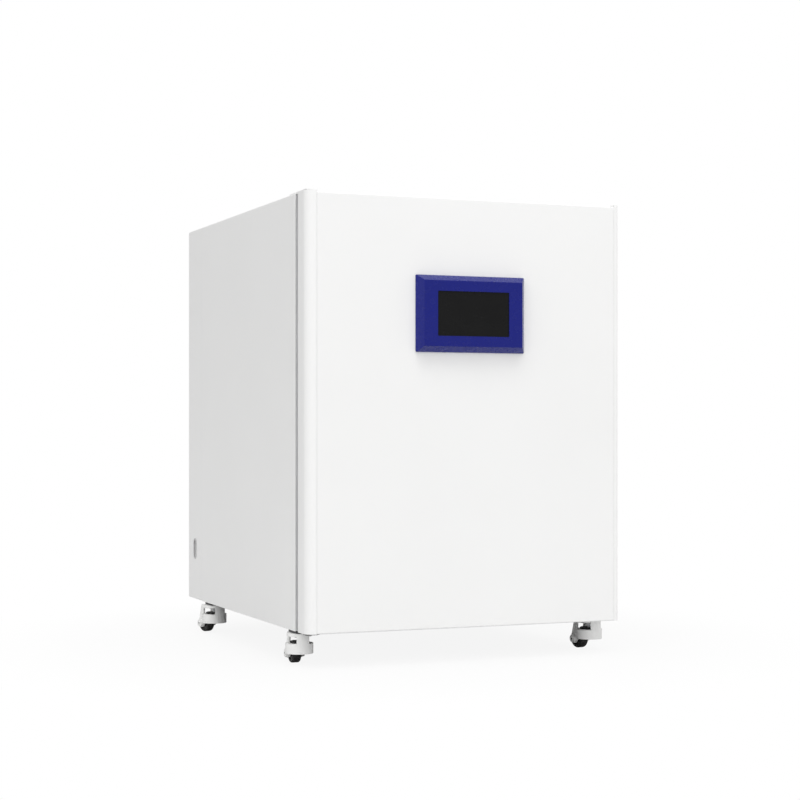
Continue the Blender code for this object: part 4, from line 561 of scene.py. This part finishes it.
FROM_FRONT = (0, 1, 0)
LEAF_SCREW_HEAD = 0.0030
LEAF_SCREWS_IN = (0.0245, 0.0095)
LEAF_SCREW_UP = 0.020
leaf_low, leaf_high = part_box("glass_hinge_leaves")
leaf_rows = (leaf_low.z + LEAF_SCREW_UP, leaf_high.z - LEAF_SCREW_UP)
leaf_holes = [(leaf_high.x - inset, leaf_low.y - AWAY, z) for inset in LEAF_SCREWS_IN for z in leaf_rows]
screws(
    "leaf_screws", "glass_hinge_leaves", leaf_holes, FROM_FRONT, LEAF_SCREW_HEAD,
    screw_zinc("leaf_screw_zinc"), "glass_door",
)


# The racks, shelves and water pan: thin stainless sheet, punched and folded. The
# shelves slide on ledges folded out of the racks, and the pan stands on the floor.

for side in ("left", "right"):
    wear("shelf_rack_" + side, brushed("rack_steel_" + side, STEEL, gloss=0.30, along="z"))
for level in ("1", "2", "3"):
    wear("shelf_" + level, brushed("shelf_steel_" + level, STEEL, gloss=0.28, along="x"))
wear("water_pan", brushed("pan_steel", STEEL, gloss=0.22, along="x", lift=0.04))


# The air duct: a punched steel cover over the filter and the fan on the rear wall of
# the chamber, with a plastic impeller on the motor's long shaft.


def filter_paper(name):
    finish, nodes, links, surface = new_finish(name)
    fibres = grain(nodes, links, 300.0, 4.0)
    patches = grain(nodes, links, 60.0)
    fluff = grain(nodes, links, 900.0, 4.0)
    tint(nodes, links, fibres, (0.80, 0.80, 0.77), (0.92, 0.92, 0.90), surface.inputs["Base Color"])
    spread(nodes, links, patches, 0.8, 0.95, surface.inputs["Roughness"])
    raise_grain(nodes, links, fluff, 0.2, 0.0003, surface)
    return finish


wear("duct_cover", brushed("duct_steel", STEEL, gloss=0.30, along="z"))
wear("hepa_filter", filter_paper("filter_white"))
wear("fan_impeller", moulded("impeller_white", (0.82, 0.82, 0.80), gloss=0.42))
wear("fan_motor", galvanised("motor_zinc"))

DUCT_SCREW_HEAD = 0.0035
DUCT_SCREW_IN = 0.009
duct_low, duct_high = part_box("duct_cover")
duct_side = duct_high.x - DUCT_SCREW_IN
duct_rows = (duct_low.z + DUCT_SCREW_IN, (duct_low.z + duct_high.z) / 2, duct_high.z - DUCT_SCREW_IN)
duct_holes = [(side * duct_side, duct_low.y - AWAY, z) for side in (-1, 1) for z in duct_rows]
screws(
    "duct_screws", "duct_cover", duct_holes, FROM_FRONT, DUCT_SCREW_HEAD,
    screw_zinc("duct_screw_zinc"), "cabinet",
)


# The rear compartment: a galvanised bulkhead carries the motor, the power supply and
# the control board. The access port runs through it to the back, with a silicone plug.


def machined(name, colour, gloss):
    """Turned metal with its tool marks round the axis that points out of the back."""
    finish, nodes, links, surface = new_finish(name)
    marks = grain(nodes, links, 1400.0, 2.0, (0.1, 1.0, 0.1))
    tint(nodes, links, marks, tuple(0.85 * c for c in colour), colour, surface.inputs["Base Color"])
    spread(nodes, links, marks, gloss - 0.05, gloss + 0.05, surface.inputs["Roughness"])
    soften(nodes, links, 0.0004, surface.inputs["Normal"])
    surface.inputs["Metallic"].default_value = 1.0
    return finish


wear("rear_bulkhead", galvanised("bulkhead_zinc"))
wear("power_supply", galvanised("power_supply_zinc"))
wear("control_board", moulded("board_green", (0.015, 0.16, 0.06), gloss=0.45, pore=300.0, lift=0.15))
wear("port_sleeve", moulded("port_sleeve_white", (0.84, 0.84, 0.82), gloss=0.42))
wear("port_plug", rubbery("port_plug_silicone", (0.74, 0.74, 0.72), gloss=0.5))
wear("gas_inlet", machined("gas_inlet_brass", (0.72, 0.52, 0.22), gloss=0.28))
wear("mains_inlet", moulded("mains_inlet_black", (0.025, 0.025, 0.025), gloss=0.45))

INLET_SCREW_HEAD = 0.0026
INLET_SCREW_OUT = 0.020
inlet_low, inlet_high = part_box("mains_inlet")
inlet_middle = (inlet_low + inlet_high) / 2
behind_inlet = inlet_high.y + AWAY
inlet_holes = [(inlet_middle.x + side * INLET_SCREW_OUT, behind_inlet, inlet_middle.z) for side in (-1, 1)]
screws(
    "inlet_screws", "mains_inlet", inlet_holes, FROM_BEHIND, INLET_SCREW_HEAD,
    screw_zinc("inlet_screw_zinc"), "cabinet",
)


# The power switch: a dark rocker low on the left side near the back, set in a slot
# with a snapped-in light trim.

wear("switch_trim", moulded("switch_trim_grey", (0.58, 0.58, 0.58), gloss=0.45))
wear("power_rocker", moulded("rocker_black", PLAIN_BLACK, gloss=0.40))


# The levelling casters: a die-cast swivel housing painted light grey, a black nylon
# wheel turned in one piece on a riveted axle whose drilled ends are primed black as painted
# shade in their hollows, and a zinc foot that a toothed nut winds down to the floor.

# Radius and half width of the wheel, from its bore outwards.
wheel_hub = [(0.0032, 0.0090), (0.0064, 0.0090), (0.0068, 0.0086)]
wheel_web = [(0.0070, 0.0072), (0.0136, 0.0068), (0.0141, 0.0086)]
wheel_rim = [(0.0146, 0.0090), (0.0174, 0.0090)]
wheel_tread = [(0.0184, 0.0086), (0.0192, 0.0078), (0.0198, 0.0066), (0.0200, 0.0052)]
half_wheel = wheel_hub + wheel_web + wheel_rim + wheel_tread
wheel_profile = [(radius, -width) for radius, width in half_wheel] + half_wheel[::-1]
rivet_profile = [(0.0052, -0.0003), (0.0052, 0.0005), (0.0046, 0.0011), (0.0021, 0.0013), (0.0020, 0.0003)]
drilled_profile = [(0.0019, 0.0001), (0.0019, 0.0007), (0.0016, 0.0009), (0.0007, 0.0006)]
HOUSING_GREY = (0.89, 0.89, 0.88)
RIVET_GREY = (0.90, 0.90, 0.89)
NYLON_BLACK = (0.018, 0.018, 0.018)
for corner in ("front_left", "front_right", "rear_left", "rear_right"):
    housing = "caster_housing_" + corner
    wear(housing, powder_coat("caster_grey_" + corner, HOUSING_GREY, gloss=0.42))
    wear("adjuster_nut_" + corner, moulded("adjuster_nylon_" + corner, NYLON_BLACK, gloss=0.5))
    wear("levelling_foot_" + corner, galvanised("foot_zinc_" + corner))
    wheel_low, wheel_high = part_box("caster_wheel_" + corner)
    nut_low, nut_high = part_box("adjuster_nut_" + corner)
    hub = (wheel_low + wheel_high) / 2
    trail = hub - (nut_low + nut_high) / 2
    axle = Vector((-trail.y, trail.x, 0.0)).normalized()
    rolled = bmesh.new()
    turned(rolled, hub, axle, wheel_profile, 72, closed=True)
    nylon = moulded("wheel_nylon_" + corner, NYLON_BLACK, gloss=0.48)
    wheel = piece("nylon_wheel_" + corner, rolled, nylon, "wheel_" + corner)
    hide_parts("caster_wheel_" + corner)
    rivets = bmesh.new()
    ends = bmesh.new()
    for side in (-1, 1):
        spot = seat_on(housing, hub + side * AWAY * axle, -side * axle)
        turned(rivets, spot, side * axle, rivet_profile, 28)
        turned(ends, spot, side * axle, drilled_profile, 20)
    cast = powder_coat("rivet_grey_" + corner, RIVET_GREY, gloss=0.40)
    # Black primer in the drilled axle ends: painted shade in their hollows.
    hole_shade_primer = black_primer_as_shade("axle_end_painted_shade_" + corner)
    piece("axle_rivets_" + corner, rivets, cast, "caster_" + corner)
    piece("axle_ends_painted_shade_" + corner, ends, hole_shade_primer, "caster_" + corner)
